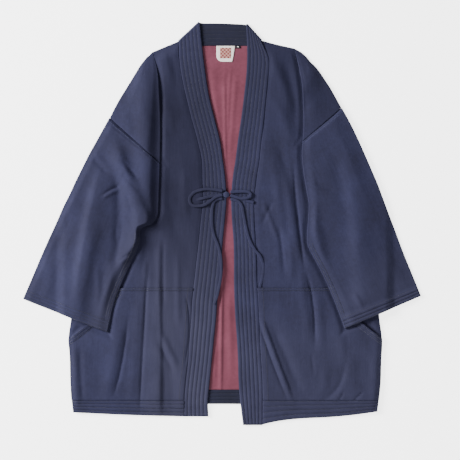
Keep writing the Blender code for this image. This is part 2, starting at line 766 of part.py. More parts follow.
def collar_grid():
    """Cross lines of the collar band, from the right front round the neck to the left front.

    Each line runs from the seam edge to the free edge. Returns the middle points, the share
    of the ribs that each row shows on its first face, and the share on its other face.
    """
    width_points = 2 * COLLAR_RIBS + 1
    shares = np.arange(width_points) / (width_points - 1)
    lines, first_face, other_face = [], [], []

    def add(seam, free, height, first, other):
        seam, free = np.array(seam), np.array(free)
        plan = seam[None, :] + (free - seam)[None, :] * shares[:, None]
        heights = np.full(width_points, height) if np.isscalar(height) else height
        lines.append(np.column_stack((plan, heights)))
        first_face.append(first)
        other_face.append(other)

    def front_lines(side):
        made = []
        rows = side.collar
        for y, _, _ in rows:
            lift = smoothstep((y - 150.0) / 200.0)
            slant_free = (side.neck_fold[1] - side.neck_fold[3]) * lift * 0.62
            seam = (side.sign * side.collar_outer(y), y)
            free_y = y + slant_free
            free = (side.sign * side.collar_inner(free_y), free_y)
            plan_x = seam[0] + (free[0] - seam[0]) * shares
            plan_y = seam[1] + (free[1] - seam[1]) * shares
            made.append((seam, free, COLLAR_MID - sinking(plan_x, plan_y)))
        return made

    def fold_ends(side, shift):
        """Ends of the fold line, moved down across it by a distance."""
        inner, inner_y, outer, outer_y = side.neck_fold
        run = np.array((side.sign * (inner - outer), inner_y - outer_y))
        run = run / np.hypot(*run)
        down = np.array((run[1], -run[0])) * (1.0 if run[1] * -side.sign > 0 else -1.0)
        if down[1] > 0.0:
            down = -down
        seam = np.array((side.sign * outer, outer_y)) + down * shift
        free = np.array((side.sign * inner, inner_y)) + down * shift
        return seam, free

    def turn_lines(side):
        """Lines of the fold from the front stretch down to the stretch behind the neck."""
        radius = NECK_TURN_RADIUS
        made = []
        for angle in (0.0, 60.0, 120.0, 180.0):
            turn = math.radians(angle)
            seam, free = fold_ends(side, radius * (1.0 - math.sin(turn)) + 0.6)
            made.append((seam, free, NECK_MID + radius * (1.0 + math.cos(turn)), angle < 90.0))
        return made

    right, left = Side("right"), Side("left")
    for seam, free, height in front_lines(right):
        add(seam, free, height, 1.0, 0.0)
    for seam, free, height, upper in turn_lines(right):
        add(seam, free, height, 0.5 if upper else 0.0, 0.0)
    for seam_x, seam_y, free_x, free_y in NECK_ROWS:
        add((seam_x, seam_y), (free_x, free_y), NECK_MID, 0.0, 1.0)
    for seam, free, height, upper in reversed(turn_lines(left)):
        add(seam, free, height, 0.5 if upper else 0.0, 0.0)
    for seam, free, height in reversed(front_lines(left)):
        add(seam, free, height, 1.0, 0.0)
    ribs = COLLAR_RIB_HEIGHT * (np.arange(width_points) % 2)
    return np.array(lines), np.outer(first_face, ribs), np.outer(other_face, ribs)


def make_back(finish):
    """The back panel, flat on the floor, with its curved lower edge."""
    mid = []
    columns = 9
    shares = np.linspace(0.0, 1.0, columns)
    for y, right, left in BACK_ROWS:
        x = -right + (right + left) * shares
        mid.append(np.column_stack((x, np.full(columns, y), np.full(columns, BACK_MID))))
    x = mid[0][:, 0]
    edge = BACK_EDGE_MIDDLE - BACK_EDGE_SIDE_DROP * (x / BACK_HALF_WIDTH) ** 2
    mid.insert(0, np.column_stack((x * 0.993, edge, np.full(columns, BACK_MID))))
    cloth_wall("back", np.array(mid), CLOTH, finish)


def opening_row(y, columns):
    """x of points across the front opening at a level, lapping under the collar."""
    low = -float(Side("right").collar_inner(y)) - LINING_UNDERLAP
    high = float(Side("left").collar_inner(y)) + LINING_UNDERLAP
    return np.linspace(low, high, columns)


def make_lining(finish):
    """The lining where the open fronts show it, with its soft upright folds."""
    mid = []
    columns = 13
    levels = np.linspace(LINING_FOOT, LINING_HEAD, 15)
    for y in levels:
        x = opening_row(y, columns)
        share = np.linspace(0.0, 1.0, columns)
        window = smoothstep((share - 0.18) / 0.2) * smoothstep((0.82 - share) / 0.2)
        height = read(LINING_FOLDS, y) * (0.6 - 0.4 * np.cos(share * 6.0 * math.pi))
        flat = 1.0 - smoothstep((y - 290.0) / 25.0)
        mid.append(np.column_stack((x, np.full(columns, y), LINING_MID + height * window * flat)))
    cloth_wall("lining_back", np.array(mid), LINING_CLOTH, finish)


def make_back_hem(finish):
    """The turned hem of the back, with its rows of sewing."""
    rows, columns = 9, 7
    mid, relief = [], []
    for row in range(rows):
        share = row / (rows - 1)
        y = BACK_HEM_FOOT + (LINING_FOOT - SEAM_GAP - BACK_HEM_FOOT) * share
        x = opening_row(y, columns)
        arc = -(BACK_EDGE_SIDE_DROP * (x / BACK_HALF_WIDTH) ** 2) * (1.0 - share)
        mid.append(np.column_stack((x, y + arc, np.full(columns, BACK_HEM_MID))))
        relief.append(np.full(columns, 0.25 * (row % 2)))
    cloth_wall("hem_back", np.array(mid), BACK_HEM_CLOTH, finish, relief=np.array(relief))


def make_front(side, finish):
    """One front with its pocket and its turned hem, which lie on it or meet it."""
    mid, slit = front_grid(side)
    cloth_wall("front_" + side.name, mid, CLOTH, finish, slit=slit)

    normals = grid_normals(mid, slit=slit)
    if normals[0, 0, 2] < 0.0:
        normals = -normals
    rows = slice(0, POCKET_ROWS + 1)
    lift = CLOTH / 2 + GAP + POCKET_CLOTH / 2
    pocket = (mid[rows] + normals[rows] * lift)[:, 1:]
    mouth = np.zeros(pocket.shape[:2])
    mouth[-1, :] = POCKET_MOUTH_RISE
    cloth_wall("pocket_" + side.name, pocket, POCKET_CLOTH, finish, relief=mouth)

    band_rows = 9
    first = mid[0, 1:]
    out = side.sign * first[:, 0]
    lower = np.array([read(side.lower_edge, value) for value in out])
    band, ridges = [], []
    for row in range(band_rows):
        share = row / (band_rows - 1)
        y = lower + (HEM_BAND_TOP - lower) * share
        narrow = out * (1.0 - 0.012 * (1.0 - share)) + 0.012 * (1.0 - share) * out[0]
        height = HEM_MID + side.front_relief(out, y) - sinking(out, y)
        band.append(np.column_stack((side.sign * narrow, y, height)))
        ridges.append(np.full(len(out), 0.35 * (row % 2)))
    cloth_wall("hem_front_" + side.name, np.array(band), HEM_CLOTH, finish, relief=np.array(ridges))


def make_sleeve(side, finish):
    """One sleeve, an open tube pressed flat, lying on the body and on the floor."""
    rings, relief = sleeve_grid(side)
    cloth_wall("sleeve_" + side.name, rings, CLOTH, finish, relief=relief, wrap=True, up_at=(2, 4))


def smooth_route(points, spacing):
    """Even points on a smooth curve through a route's points."""
    points = np.array(points, dtype=float)
    ends = np.vstack((2 * points[0] - points[1], points, 2 * points[-1] - points[-2]))
    dense = []
    for number in range(1, len(ends) - 2):
        a, b, c, d = ends[number - 1:number + 3]
        for t in np.linspace(0.0, 1.0, 12, endpoint=False):
            dense.append(0.5 * (2 * b + (c - a) * t + (2 * a - 5 * b + 4 * c - d) * t ** 2
                                + (3 * b - a - 3 * c + d) * t ** 3))
    dense.append(points[-1])
    dense = np.array(dense)
    length = np.concatenate(([0.0], np.cumsum(np.linalg.norm(np.diff(dense, axis=0), axis=1))))
    count = max(2, int(round(length[-1] / spacing)) + 1)
    even = np.linspace(0.0, length[-1], count)
    return np.column_stack([np.interp(even, length, dense[:, axis]) for axis in range(3)])


def make_tie(name, route, finish):
    """A flat tape that lies along a route, its underside at the route's height."""
    line = smooth_route(route, TIE_WIDTH)
    line[:, 2] += TIE_CLOTH / 2
    direction = np.gradient(line, axis=0)
    direction[:, 2] = 0.0
    direction = direction / np.linalg.norm(direction, axis=1, keepdims=True)
    sideways = np.column_stack((-direction[:, 1], direction[:, 0], np.zeros(len(line))))
    mid = np.stack([line + sideways * TIE_WIDTH * share for share in (-0.5, 0.0, 0.5)], axis=1)
    cloth_wall(name, mid, TIE_CLOTH, finish, up_at=(1, 1))


def make_knot(finish):
    """The knot of the ties, a rounded lump of wrapped tape."""
    model = bmesh.new()
    bmesh.ops.create_cube(model, size=1.0)
    bmesh.ops.scale(model, vec=[size * MM for size in KNOT_SIZE], verts=model.verts[:])
    bmesh.ops.bevel(model, geom=model.edges[:], offset=1.6 * MM, segments=2, affect="EDGES")
    base = COLLAR_TOP + 0.4
    place = (KNOT_CENTRE[0] * MM, KNOT_CENTRE[1] * MM, (base + KNOT_SIZE[2] / 2) * MM)
    bmesh.ops.translate(model, vec=place, verts=model.verts[:])
    finish_mesh("tie_knot", model, finish)


def make_label(name, bounds, finish, slant=0.0):
    """A small label lying on the lining."""
    x_low, x_high, y_low, y_high = bounds
    base = LINING_MID + LINING_CLOTH / 2 + GAP + LABEL_CLOTH / 2
    rows = []
    for y, drawn_in in ((y_low, slant), (y_low + 5.0, slant * 0.8), (y_high, 0.0)):
        left = x_low + (4.0 if slant and y == y_low else 0.0)
        rows.append([(x, y, base) for x in np.linspace(left, x_high - drawn_in, 4)])
    cloth_wall(name, np.array(rows), LABEL_CLOTH, finish)


def main():
    for old in list(bpy.data.objects):
        bpy.data.objects.remove(old, do_unlink=True)
    navy = material("navy_cotton", NAVY)
    rose = material("rose_lining", ROSE)
    white = material("label_white", LABEL_WHITE)
    black = material("label_black", LABEL_BLACK)
    make_back(navy)
    make_lining(rose)
    make_back_hem(navy)
    for name in ("right", "left"):
        side = Side(name)
        make_front(side, navy)
        make_sleeve(side, navy)
    lines, first_face, other_face = collar_grid()
    cloth_wall("collar", lines, COLLAR_CLOTH, navy, relief=first_face, under_relief=other_face,
               up_at=(2, 2))
    for name, route in TIE_ROUTES.items():
        make_tie(name, route, navy)
    make_knot(navy)
    make_label("neck_label", NECK_LABEL, white, slant=6.0)
    make_label("size_label", SIZE_LABEL, black)


main()
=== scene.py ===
"""Happi coat of navy cotton jersey, laid flat on white with its ties in a bow.

Sizes are in millimetres and are turned to metres when a mesh is made. +X is to the right
of the picture, +Y runs up to the neck. Sides are named as the wearer has them, so the right
front lies at -X. "Out" is the distance from the middle of the coat towards a side.
"""

import math

import bpy
import numpy as np
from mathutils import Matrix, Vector


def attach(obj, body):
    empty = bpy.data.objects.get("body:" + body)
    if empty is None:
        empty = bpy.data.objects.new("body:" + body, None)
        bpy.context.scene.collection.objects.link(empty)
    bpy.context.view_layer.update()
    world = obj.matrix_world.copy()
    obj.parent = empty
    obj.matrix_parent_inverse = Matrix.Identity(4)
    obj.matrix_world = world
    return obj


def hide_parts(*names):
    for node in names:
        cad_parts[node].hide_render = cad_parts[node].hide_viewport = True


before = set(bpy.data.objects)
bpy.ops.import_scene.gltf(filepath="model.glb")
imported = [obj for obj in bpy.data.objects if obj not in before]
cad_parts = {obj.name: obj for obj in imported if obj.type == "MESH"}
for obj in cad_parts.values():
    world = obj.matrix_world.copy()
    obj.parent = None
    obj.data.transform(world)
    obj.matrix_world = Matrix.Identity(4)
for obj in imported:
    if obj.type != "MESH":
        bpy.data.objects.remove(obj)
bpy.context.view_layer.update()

MM = 0.001

# Walls of cloth, and the clearance between neighbours
CLOTH = 1.6
POCKET_CLOTH = 1.3
LINING_CLOTH = 0.8
HEM_CLOTH = 3.4
BACK_HEM_CLOTH = 1.2
COLLAR_CLOTH = 2.6
LABEL_CLOTH = 0.7
GAP = 0.3
EDGE_LINE = 0.7

# Heights of the middles of the walls
FRONT_MID = 2.7
LINING_MID = 2.4
BACK_HEM_MID = 2.5
HEM_MID = 3.7
FRONT_TOP = FRONT_MID + CLOTH / 2
POCKET_LIFT = CLOTH / 2 + GAP + POCKET_CLOTH / 2
NECK_MID = 1.4
NECK_TURN_RADIUS = 1.9
COLLAR_MID = NECK_MID + 2 * NECK_TURN_RADIUS

# Sewn ribs
COLLAR_RIBS = 6
COLLAR_RIB_HEIGHT = 0.7
HEM_RIBS = 4
HEM_RIB_HEIGHT = 1.15
CUFF_HEM = 18.0
CUFF_RIBS = 3
CUFF_RIB_HEIGHT = 1.15
FELL_HEIGHT = 0.6
FELL_SOFT = 0.9

# Lower edges, how far cloth sinks past the back's edge, and the lining between the fronts
HEM_BAND_TOP = -352.0
HEM_TAPER = 0.012
HEM_LAP = 0.7
HEM_LAP_REACH = 30.0
BACK_EDGE_MIDDLE = -359.0
BACK_EDGE_SIDE_DROP = 15.0
BACK_HALF_WIDTH = 300.0
SINK = 1.6
SINK_LENGTH = 14.0
LINING_FOOT = -331.0
LINING_HEAD = 355.8
BACK_HEM_FOOT = -359.6
LINING_UNDERLAP = 13.0
LINING_HIDDEN = 9.0
LINING_SOFT = 14.0
LINING_FLOOR = -0.3

# The collar: where its inner side shows behind the neck, how the lines across it lean there,
# and where its ribs grow stronger
# Behind the neck the collar's inner side takes a darker copy of the cloth: painted shade
NECK_INSIDE_Y = 355.0
NECK_FROM = 200.0
NECK_LEAN = 0.62
NECK_LEAN_FROM = 150.0
NECK_LEAN_LENGTH = 200.0
NECK_TURN_SHIFT = 0.6
COLLAR_RIB_LEAST = 0.85
COLLAR_RIB_GAIN = 0.6
COLLAR_RIB_FROM = 60.0
COLLAR_RIB_LENGTH = 300.0

# The tuck at each shoulder, and the flap that falls from it to the sleeve
TUCK_RADIUS = 0.95
FLAP_FALL = 1.6
FLAP_EDGE = 0.25
NECK_FADE = 0.15
UNDERARM_DROP = 8.0
UNDERARM_CURVE = 0.8

# The sleeves: the cloth's turn in degrees, the air in them, and their slope down to the floor
SLEEVE_TURN = {"right": -24.0, "left": 24.0}
SLEEVE_AIR = 0.7
SLEEVE_HALF = (CLOTH + SLEEVE_AIR) / 2
ARMHOLE_FADE = 0.10
SEAM_SINK_FROM = 25.0
SEAM_SINK_LENGTH = 60.0
SEAM_SINK_RUN = 0.05
POCKET_RISE = 2.2
POCKET_RISE_Y = -60.0
POCKET_RISE_LENGTH = 45.0
SLEEVE_SLOPE_START = 12.0
SLEEVE_SLOPE_LENGTH = 22.0

# How a sleeve stands off the front round the corner of its inner edge: out, y and how far
SLEEVE_CORNER = {"right": (158.0, -10.0, 2.6), "left": (170.0, -20.0, 1.5)}
CORNER_REACH = 30.0

# The width over which a sleeve's creases rise from its edges, and how much less it is at the
# corner of the inner edge, whose middle lies a shift below that corner
INNER_EDGE_ROUND = 22.0
OUTER_EDGE_ROUND = {"right": 14.0, "left": 36.0}
CORNER_EDGE_SHARPER = 14.0
CORNER_EDGE_SHIFT = 12.0
CORNER_EDGE_REACH = 52.0

# A sleeve's ridges level off softly above the roof, within the room over it
SLEEVE_ROOF = 17.5
SLEEVE_ROOF_ROOM = 3.6

# Felled seams: where the doubled strip begins and ends beside the seam
ARMHOLE_FELL = (0.9, 6.3)
UNDERARM_FELL = (3.0, 8.6)
UNDERARM_RUN = 0.5
UNDERARM_SOFT = 0.06
ARMHOLE_LINES = (0.5, 1.0, 1.6, 2.2, 4.0, 5.6, 6.2, 6.8, 7.6)

# How softly a front's relief begins beside the collar, the side and the sleeve
COLLAR_SIDE_LEAST = 0.75
COLLAR_SIDE_SOFT = 9.0
COLLAR_SEAM_SOFT = 1.6
EDGE_SOFT = 12.0
SIDE_SWELL_LEAST = 0.3
RELIEF_FLOOR = 0.1
SLEEVE_RELIEF_FLOOR = -0.3

# The seam between shoulder and sleeve, and the edges of the fronts
ARMHOLE_GAP = 0.4
ARMHOLE_ROW = 12
ARMHOLE_DIP = 1.2
ARMHOLE_DIP_WIDTH = 0.14
ARMHOLE_DEPTH = {"right": 1.0, "left": 0.25}
COLLAR_LAP = 2.0
COLLAR_EDGE_GAP = 0.4
NECK_LAP_FROM = 320.0
NECK_LAP_LENGTH = 40.0
NECK_LAP_CLOSER = 1.2
NECK_LAP_GAIN = 0.4

# Sewing: stitches are drawn coarser than real ones, so that their lines show at this size
STITCH_PITCH = 3.2
STITCH_LENGTH = 2.8
FINE_THREAD = 0.35
COLLAR_THREAD = 0.45
EDGE_THREAD = 0.6

# Lines of sewing: in rows of a hem's grid, and in distances from an edge or a seam
BACK_HEM_SEWING = (3.0, 8.0, 16.0, 24.0)
FRONT_HEM_SEWING = (7.6, 15.6, 23.6, 30.6)
POCKET_TOP_SEWING = (1.2, 4.8)
POCKET_MOUTH_SEWING = (4.0, 9.5, 14.0)
POCKET_INNER_SEWING = 11.0
ARMHOLE_SEWING = 6.5
UNDERARM_SEWING = (2.6, 8.0)

# How finely each piece is divided
CHEST_COLUMNS = 54
FLAP_COLUMNS = 42
TURN_STEPS = 6
POCKET_ROWS = 84
POCKET_ROW_CROWDING = 1.5
SIDE_ROWS = 66
SHOULDER_STEPS = 8
SLEEVE_COLUMNS = 84
SLEEVE_STEPS = 9
SEAM_COLUMNS = 14
SEAM_COLUMN_WIDTH = 0.8
SLEEVE_EDGE_STEPS = 7
NECK_TURN_ROWS = 9
COLLAR_STEPS = 10
NECK_STEPS = 8
RIB_STEPS = 8

# Collar edges, each row: y, inner edge out, outer edge out
COLLAR_RIGHT = (
    (-384.5, 27, 76),
    (-352, 28, 76),
    (-312, 24, 73),
    (-272, 20, 68),
    (-232, 16, 65),
    (-192, 12, 62),
    (-152, 9, 60),
    (-112, 5, 55),
    (-72, 1, 50.5),
    (-32, -2, 46),
    (8, -6, 42),
    (48, -9, 38),
    (88, -7, 39),
    (128, -2, 40.5),
    (168, 4, 49),
    (208, 14, 60),
    (248, 24, 70),
    (288, 31, 79),
    (328, 36, 85),
)
COLLAR_LEFT = (
    (-401.7, 42, 81),
    (-352, 36, 82),
    (-312, 33, 81),
    (-272, 32, 78.5),
    (-232, 30, 76),
    (-192, 27, 74.5),
    (-152, 25, 72.5),
    (-112, 24, 70),
    (-72, 24, 69),
    (-32, 23, 67),
    (8, 20, 64.5),
    (48, 18.5, 64.5),
    (88, 21, 68.5),
    (128, 27, 75),
    (168, 32, 79),
    (208, 38, 84),
    (248, 43, 88),
    (288, 48, 92),
    (328, 50, 94),
)
NECK_FOLD_RIGHT = (46, 404, 88, 365)
NECK_FOLD_LEFT = (50, 400, 80, 367)
NECK_ROWS = (
    (-66, 356.2, -36, 401.2),
    (-34, 356, -16, 401.2),
    (2, 356, 4, 400.8),
    (34, 356, 24, 400),
    (60, 356.2, 40, 399.2),
)

# Shoulder rows: y at the collar, y at the fold, edge out, edge y, turn in degrees, length
SHOULDER_RIGHT = (
    (128, 122, 224, 212, 180, 12),
    (158, 148, 213, 234, 180, 12),
    (190, 178, 203, 252, 180, 12),
    (224, 208, 193, 268, 180, 11),
    (258, 238, 183.5, 283.5, 165, 8),
    (290, 268, 174, 299, 130, 4),
    (320, 298, 164, 315.5, 80, 2),
    (345, 322, 156, 326, 34, 1.4),
    (365.6, 341, 149.5, 334, 12, 1.2),
)
SHOULDER_LEFT = (
    (166, 165, 239, 231, 180, 12),
    (192, 188, 228, 251, 180, 12),
    (218, 210, 216.5, 271.5, 180, 12),
    (244, 232, 206, 287.5, 180, 11),
    (270, 254, 196, 302.5, 165, 8),
    (296, 276, 186, 315, 130, 4),
    (322, 302, 177.5, 323, 80, 2),
    (347, 331, 168.5, 334, 34, 1.4),
    (367.3, 350.4, 157.5, 343.6, 12, 1.2),
)

# The fold line of the shoulder and its run down the front, each row: y, out
FOLD_RIGHT = (
    (-352, 152),
    (-100, 140),
    (60, 126),
    (122, 124),
    (228, 124),
    (268, 126),
    (298, 128),
    (320, 132.5),
    (341, 139),
)
FOLD_LEFT = (
    (-352, 176),
    (-100, 168),
    (60, 163),
    (148, 160),
    (188, 163),
    (248, 162),
    (288, 159),
    (330, 151),
    (350.4, 145),
)

# Side edge of the body, each row: y, out
SIDE_RIGHT = (
    (-376, 296),
    (-352, 300),
    (-324, 302),
    (-260, 304),
    (-228, 306.5),
    (-196, 302),
    (-60, 299),
    (66, 294),
    (212, 223),
)
SIDE_LEFT = (
    (-374, 311),
    (-352, 313),
    (-324, 316),
    (-272, 318),
    (-228, 319.5),
    (-196, 315),
    (-60, 312),
    (84, 304),
    (231, 238),
)

# Lower edge of each front, each row: out, y
LOWER_EDGE_RIGHT = ((76, -384.5), (140, -383), (204, -381), (296, -376.5))
LOWER_EDGE_LEFT = (
    (81, -401.2),
    (100, -396.5),
    (126, -392),
    (156, -389),
    (216, -386),
    (256, -382.5),
    (311, -375),
)

# Pockets
POCKET_TOP_Y = -128
POCKET_MOUTH_START = {"right": 206, "left": 222.0}
POCKET_MOUTH_END_Y = -229
POCKET_MOUTH_CURVE = 1.45
POCKET_HEM = 13.5
POCKET_HEM_RISE = 0.8
POCKET_TOP_TURN = 5.6
MOUTH_LEAD = 6.0
MOUTH_GAPE_DEPTH = 8.0
MOUTH_START_SHUT = 8.0
MOUTH_END_SHUT = 3.0
MOUTH_SOFT = 12.0
MOUTH_DIP = 0.85
MOUTH_DIP_START = 3.0
MOUTH_DIP_FULL = 6.0
MOUTH_DIP_END = 14.0

# Sleeves from the armhole to the cuff: outer edge out, y, inner edge out, y
SLEEVE_RIGHT = (
    (224, 212, 124.6, 122),
    (246, 172, 125, 98),
    (264, 140, 126, 70),
    (280, 108, 127, 42),
    (292, 84, 129, 18),
    (302, 62, 140, 1),
    (308, 50, 156, -5),
    (315, 36, 163.5, -13),
    (324, 16, 165, -36),
    (335, -8, 174.5, -61),
    (347, -34, 188.5, -90),
    (362, -68, 203, -123),
    (378, -106, 217, -160),
    (397, -150, 228.5, -216),
)
SLEEVE_LEFT = (
    (239, 231, 161.5, 165),
    (256, 200, 160, 136),
    (272, 167, 163, 104),
    (285, 138, 168.5, 70),
    (298, 108, 173.5, 40),
    (310, 80, 172.5, 10),
    (322, 48, 170, -20),
    (334, 16, 171.5, -42),
    (345, -12, 183, -66),
    (356, -42, 197, -92),
    (366, -68, 212, -124),
    (380, -102, 226.5, -158),
    (397, -144, 245, -208.5),
)

# Creases, each row: start x, y, middle x, y, end x, y, width on the right and on the left of
# a crease that runs down the picture, and its height, which is below zero for a trough
FRONT_CREASES_RIGHT = (
    (-128, -90, -125, -250, -126, -430, 5, 24, 2.6),
    (-146, -60, -156, -224, -167, -430, 2.6, 3, -2.2),
    (-166, -120, -172, -240, -184, -390, 10, 9, 1.2),
    (-186, -170, -198, -270, -220, -356, 2.8, 3.6, -1.9),
    (-200, -180, -214, -270, -238, -366, 9, 12, 1.7),
    (-127, -206, -106, -252, -84, -296, 6, 5, 1.7),
    (-134, -220, -114, -262, -92, -304, 4.5, 5.5, -1.1),
    (-110, -276, -100, -320, -96, -376, 12, 12, -1.5),
    (-76, -132, -65, -206, -78, -296, 1.9, 1.9, -1.3),
    (-295, -216, -291, -300, -288, -390, 28, 7, 2.2),
    (-284, -232, -282, -300, -276, -366, 6, 5, -1.6),
    (-128, -290, -128, -350, -130, -430, 8, 20, 1.6),
    (-148, 6, -146, -42, -158, -104, 22, 12, -3.2),
    (-116, -20, -117, -90, -116, -178, 3.5, 6, -1.2),
    (-124, -30, -126, -100, -124, -190, 5, 5, 1),
    (-88, -40, -88, -140, -86, -214, 6, 6, 1),
    (-150, -60, -152, -90, -150, -120, 4, 4, 0.9),
    (-123, 352, -112, 328, -99, 272, 9, 10, 1.4),
    (-98, 336, -92, 300, -84, 240, 10, 10, -0.7),
    (-114, 262, -105, 225, -98, 178, 9, 9, 0.9),
    (-104, 130, -98, 40, -90, -50, 22, 14, -2.2),
    (-78, 120, -74, 60, -70, 0, 8, 7, 0.9),
)
FRONT_CREASES_LEFT = (
    (90, 346, 122, 276, 138, 206, 12, 12, 2.2),
    (118, 338, 142, 262, 148, 174, 9, 12, -1.6),
    (98, 262, 124, 208, 142, 148, 11, 12, 1.7),
    (98, 192, 134, 92, 148, 0, 8, 8, -1.1),
    (92, 150, 112, 60, 122, -50, 9, 9, 1),
    (78, 52, 96, 10, 116, -44, 4, 5, 1.4),
    (104, 46, 90, 22, 78, -8, 4, 4.5, -1.1),
    (112, 6, 120, -50, 126, -112, 4, 5, -1.4),
    (128, -6, 137, -60, 141, -122, 7, 7, 1.1),
    (142, 136, 152, 8, 168, -104, 3.2, 3.2, -2.2),
    (130, 120, 140, 10, 154, -90, 8, 9, 1.6),
    (166, -92, 182, -160, 186, -254, 2.8, 2.8, -2.3),
    (152, -80, 166, -160, 174, -256, 7, 10, 1.3),
    (188, -120, 196, -190, 198, -262, 8, 7, 1.2),
    (178, -256, 180, -276, 184, -306, 3, 3, -0.7),
    (75, -176, 106, -264, 147, -368, 3.6, 4.6, 3.1),
    (69, -176, 97, -264, 137, -362, 2.6, 3.6, -1.6),
    (94, -190, 126, -262, 160, -344, 10, 8, -2.2),
    (246, -262, 232, -326, 186, -355, 4.2, 5, -1.1),
    (252, -262, 240, -332, 202, -360, 11, 9, 0.8),
    (243, -334, 238, -344, 230, -356, 2.4, 2.4, -1.3),
    (282, -334, 272, -344, 258, -356, 2.4, 2.4, -1.3),
    (262, -244, 258, -300, 268, -356, 14, 14, 1.3),
    (232, -216, 240, -250, 240, -290, 8, 8, 0.9),
    (306, -250, 304, -310, 300, -372, 8, 9, 1.2),
    (210, -270, 206, -310, 202, -346, 8, 8, 0.8),
)
SHOULDER_CREASES_RIGHT = (
    (-156, 330, -151, 156, -154, -40, 21, 24, 5.6),
    (-196, 232, -190, 200, -186, 170, 12, 12, 1),
)
SHOULDER_CREASES_LEFT = (
    (172, 330, 180, 270, 186, 190, 16, 10, 1),
)
SLEEVE_CREASES_RIGHT = (
    (-220, 184, -185, 84, -148, -10, 12, 19, 6.8),
    (-150, 40, -166, -28, -208, -118, 10, 18, 7),
    (-232, 134, -269, -18, -291, -196, 30, 12, 5.6),
    (-250, 10, -278, -110, -292, -250, 14, 34, 3.2),
    (-216, 118, -206, 36, -212, -60, 12, 9, -2.6),
    (-214, -66, -223, -116, -246, -200, 9, 10, 2.8),
    (-206, 4, -209, -54, -226, -120, 7, 9, -2),
    (-202, 134, -186, 112, -164, 86, 3, 3.8, -1.3),
    (-198, 114, -182, 98, -160, 74, 3.2, 3.8, 1),
    (-200, 102, -186, 86, -166, 66, 2.4, 3, -1.4),
    (-200, 76, -218, 70, -240, 56, 2.4, 3, -2.2),
    (-202, 69, -220, 62, -242, 48, 3, 4, 1.6),
    (-259, 134, -245, 118, -224, 98, 2.4, 3, -1.7),
    (-254, 142, -238, 124, -218, 108, 3.4, 3.6, 1.2),
    (-188, 60, -184, 40, -174, 14, 3, 3.6, -1.2),
    (-177, -58, -188, -63, -202, -71, 2.4, 3, -1.9),
    (-178, -64, -190, -70, -204, -78, 3, 4, 1.4),
    (-250, -80, -246, -120, -250, -176, 6, 6, 1.4),
    (-304, 30, -318, -20, -334, -70, 10, 12, -1.4),
    (-336, -60, -344, -110, -356, -160, 10, 12, 1.2),
)
SLEEVE_CREASES_LEFT = (
    (172, 120, 183, 10, 214, -106, 11, 7, 2.4),
    (180, 84, 204, 74, 230, 62, 3.5, 3.5, -0.9),
    (260, -136, 271, -152, 281, -170, 5, 5, 1.7),
    (270, 20, 278, -92, 294, -200, 36, 20, 3.8),
    (240, 184, 266, 40, 276, -112, 26, 20, 2.5),
    (222, 150, 240, 60, 262, -60, 13, 13, -1.3),
)

# Lining folds, each row: start x, y, middle x, y, end x, y, widths, height
LINING_CREASES = (
    (4, 322, 6, 200, 7, 60, 3, 3.6, 0.8),
    (30, 320, 22, 220, 14, 110, 5, 5, 0.7),
    (-20, 322, -12, 240, 0, 130, 7, 9, 0.8),
    (19, 322, 14, 260, 11, 150, 3, 3, 0.5),
    (2, -40, -1, -200, -3, -400, 3.2, 4.4, 1.6),
    (14, -120, 16, -220, 18, -330, 7, 6, 1),
    (-14, -230, -16, -280, -18, -330, 6, 6, 1),
)

# Tie routes, each row: x, y, height of the underside
TIE_WIDTH = 6.0
TIE_CLOTH = 1.5
TIE_RIDGE = 0.35
TIE_SPACING = 1.5
TIE_PATH_SPACING = 8.0
TIE_ROUTES = {
    "tie_root_right": (
        (-56, 47, 4.6),
        (-47, 49, 5.6),
        (-36, 52, 7.6),
        (-18, 56, 7.5),
        (1.5, 58, 7.5),
    ),
    "tie_root_left": (
        (64, 42.5, 7.5),
        (50, 46.5, 7.5),
        (34, 52, 7.5),
        (16.6, 58, 7.5),
    ),
    "tie_loop_right": (
        (1.4, 66, 9.5),
        (-14, 68.5, 9.5),
        (-34, 69.5, 8.9),
        (-54, 64, 7.3),
        (-63.5, 54, 6.7),
        (-64, 44, 6.7),
        (-58, 37, 7.1),
        (-46, 36, 8.1),
        (-33, 39, 9.5),
        (-22, 47, 9.5),
        (-11, 54.5, 9.5),
        (1.4, 58, 9.5),
    ),
    "tie_loop_left": (
        (16.7, 64, 9.5),
        (28, 64.5, 9.5),
        (40, 65, 9.5),
        (50, 64.5, 9.3),
        (57, 60.5, 9.3),
        (55, 54.5, 9.3),
        (47, 51.5, 9.5),
        (36, 51.5, 9.5),
        (26, 54.5, 9.5),
        (16.7, 57.2, 9.5),
    ),
    "tie_tail_right": (
        (1.4, 51, 7.5),
        (-8, 50, 7.5),
        (-16, 44, 7.5),
        (-19.5, 30, 7.5),
        (-20, 0, 7.5),
        (-16, -22, 7.5),
        (-8, -43, 7.5),
        (-3, -62, 7.5),
        (-1.5, -82, 7.5),
        (-2, -102, 7.5),
        (-5.5, -124, 7.5),
        (-10, -144, 7.5),
        (-16, -160, 7.5),
    ),
    "tie_tail_left": (
        (17, 50, 7.5),
        (26, 48, 7.5),
        (35, 43, 7.5),
        (40, 34, 7.5),
        (43, 18, 7.5),
        (48, -8, 7.5),
        (55, -32, 7.5),
        (66, -52, 7.5),
        (76, -64, 7.3),
        (82, -80, 4.9),
        (82, -96, 4.6),
        (79, -112, 4.9),
        (75.5, -126, 6.5),
    ),
}
KNOT_CENTRE = (9, 58.4, 9.95)
KNOT_HALF = (6.8, 6.2, 2.45)
KNOT_SIZE = 0.92
KNOT_ROUNDNESS = 0.72

# Labels: x from, x to, y from, y to
NECK_LABEL = (-11, 26, 324, LINING_HEAD)
SIZE_LABEL = (27, 37, 351, LINING_HEAD)
LABEL_CHECK = (-4, 18, 331, 352)
SIZE_BAR = (30.5, 33.5, 353, 355)
LABEL_CORNER = 12.0
LABEL_SLANT = 6.0
CHECK_SQUARE = 3.6

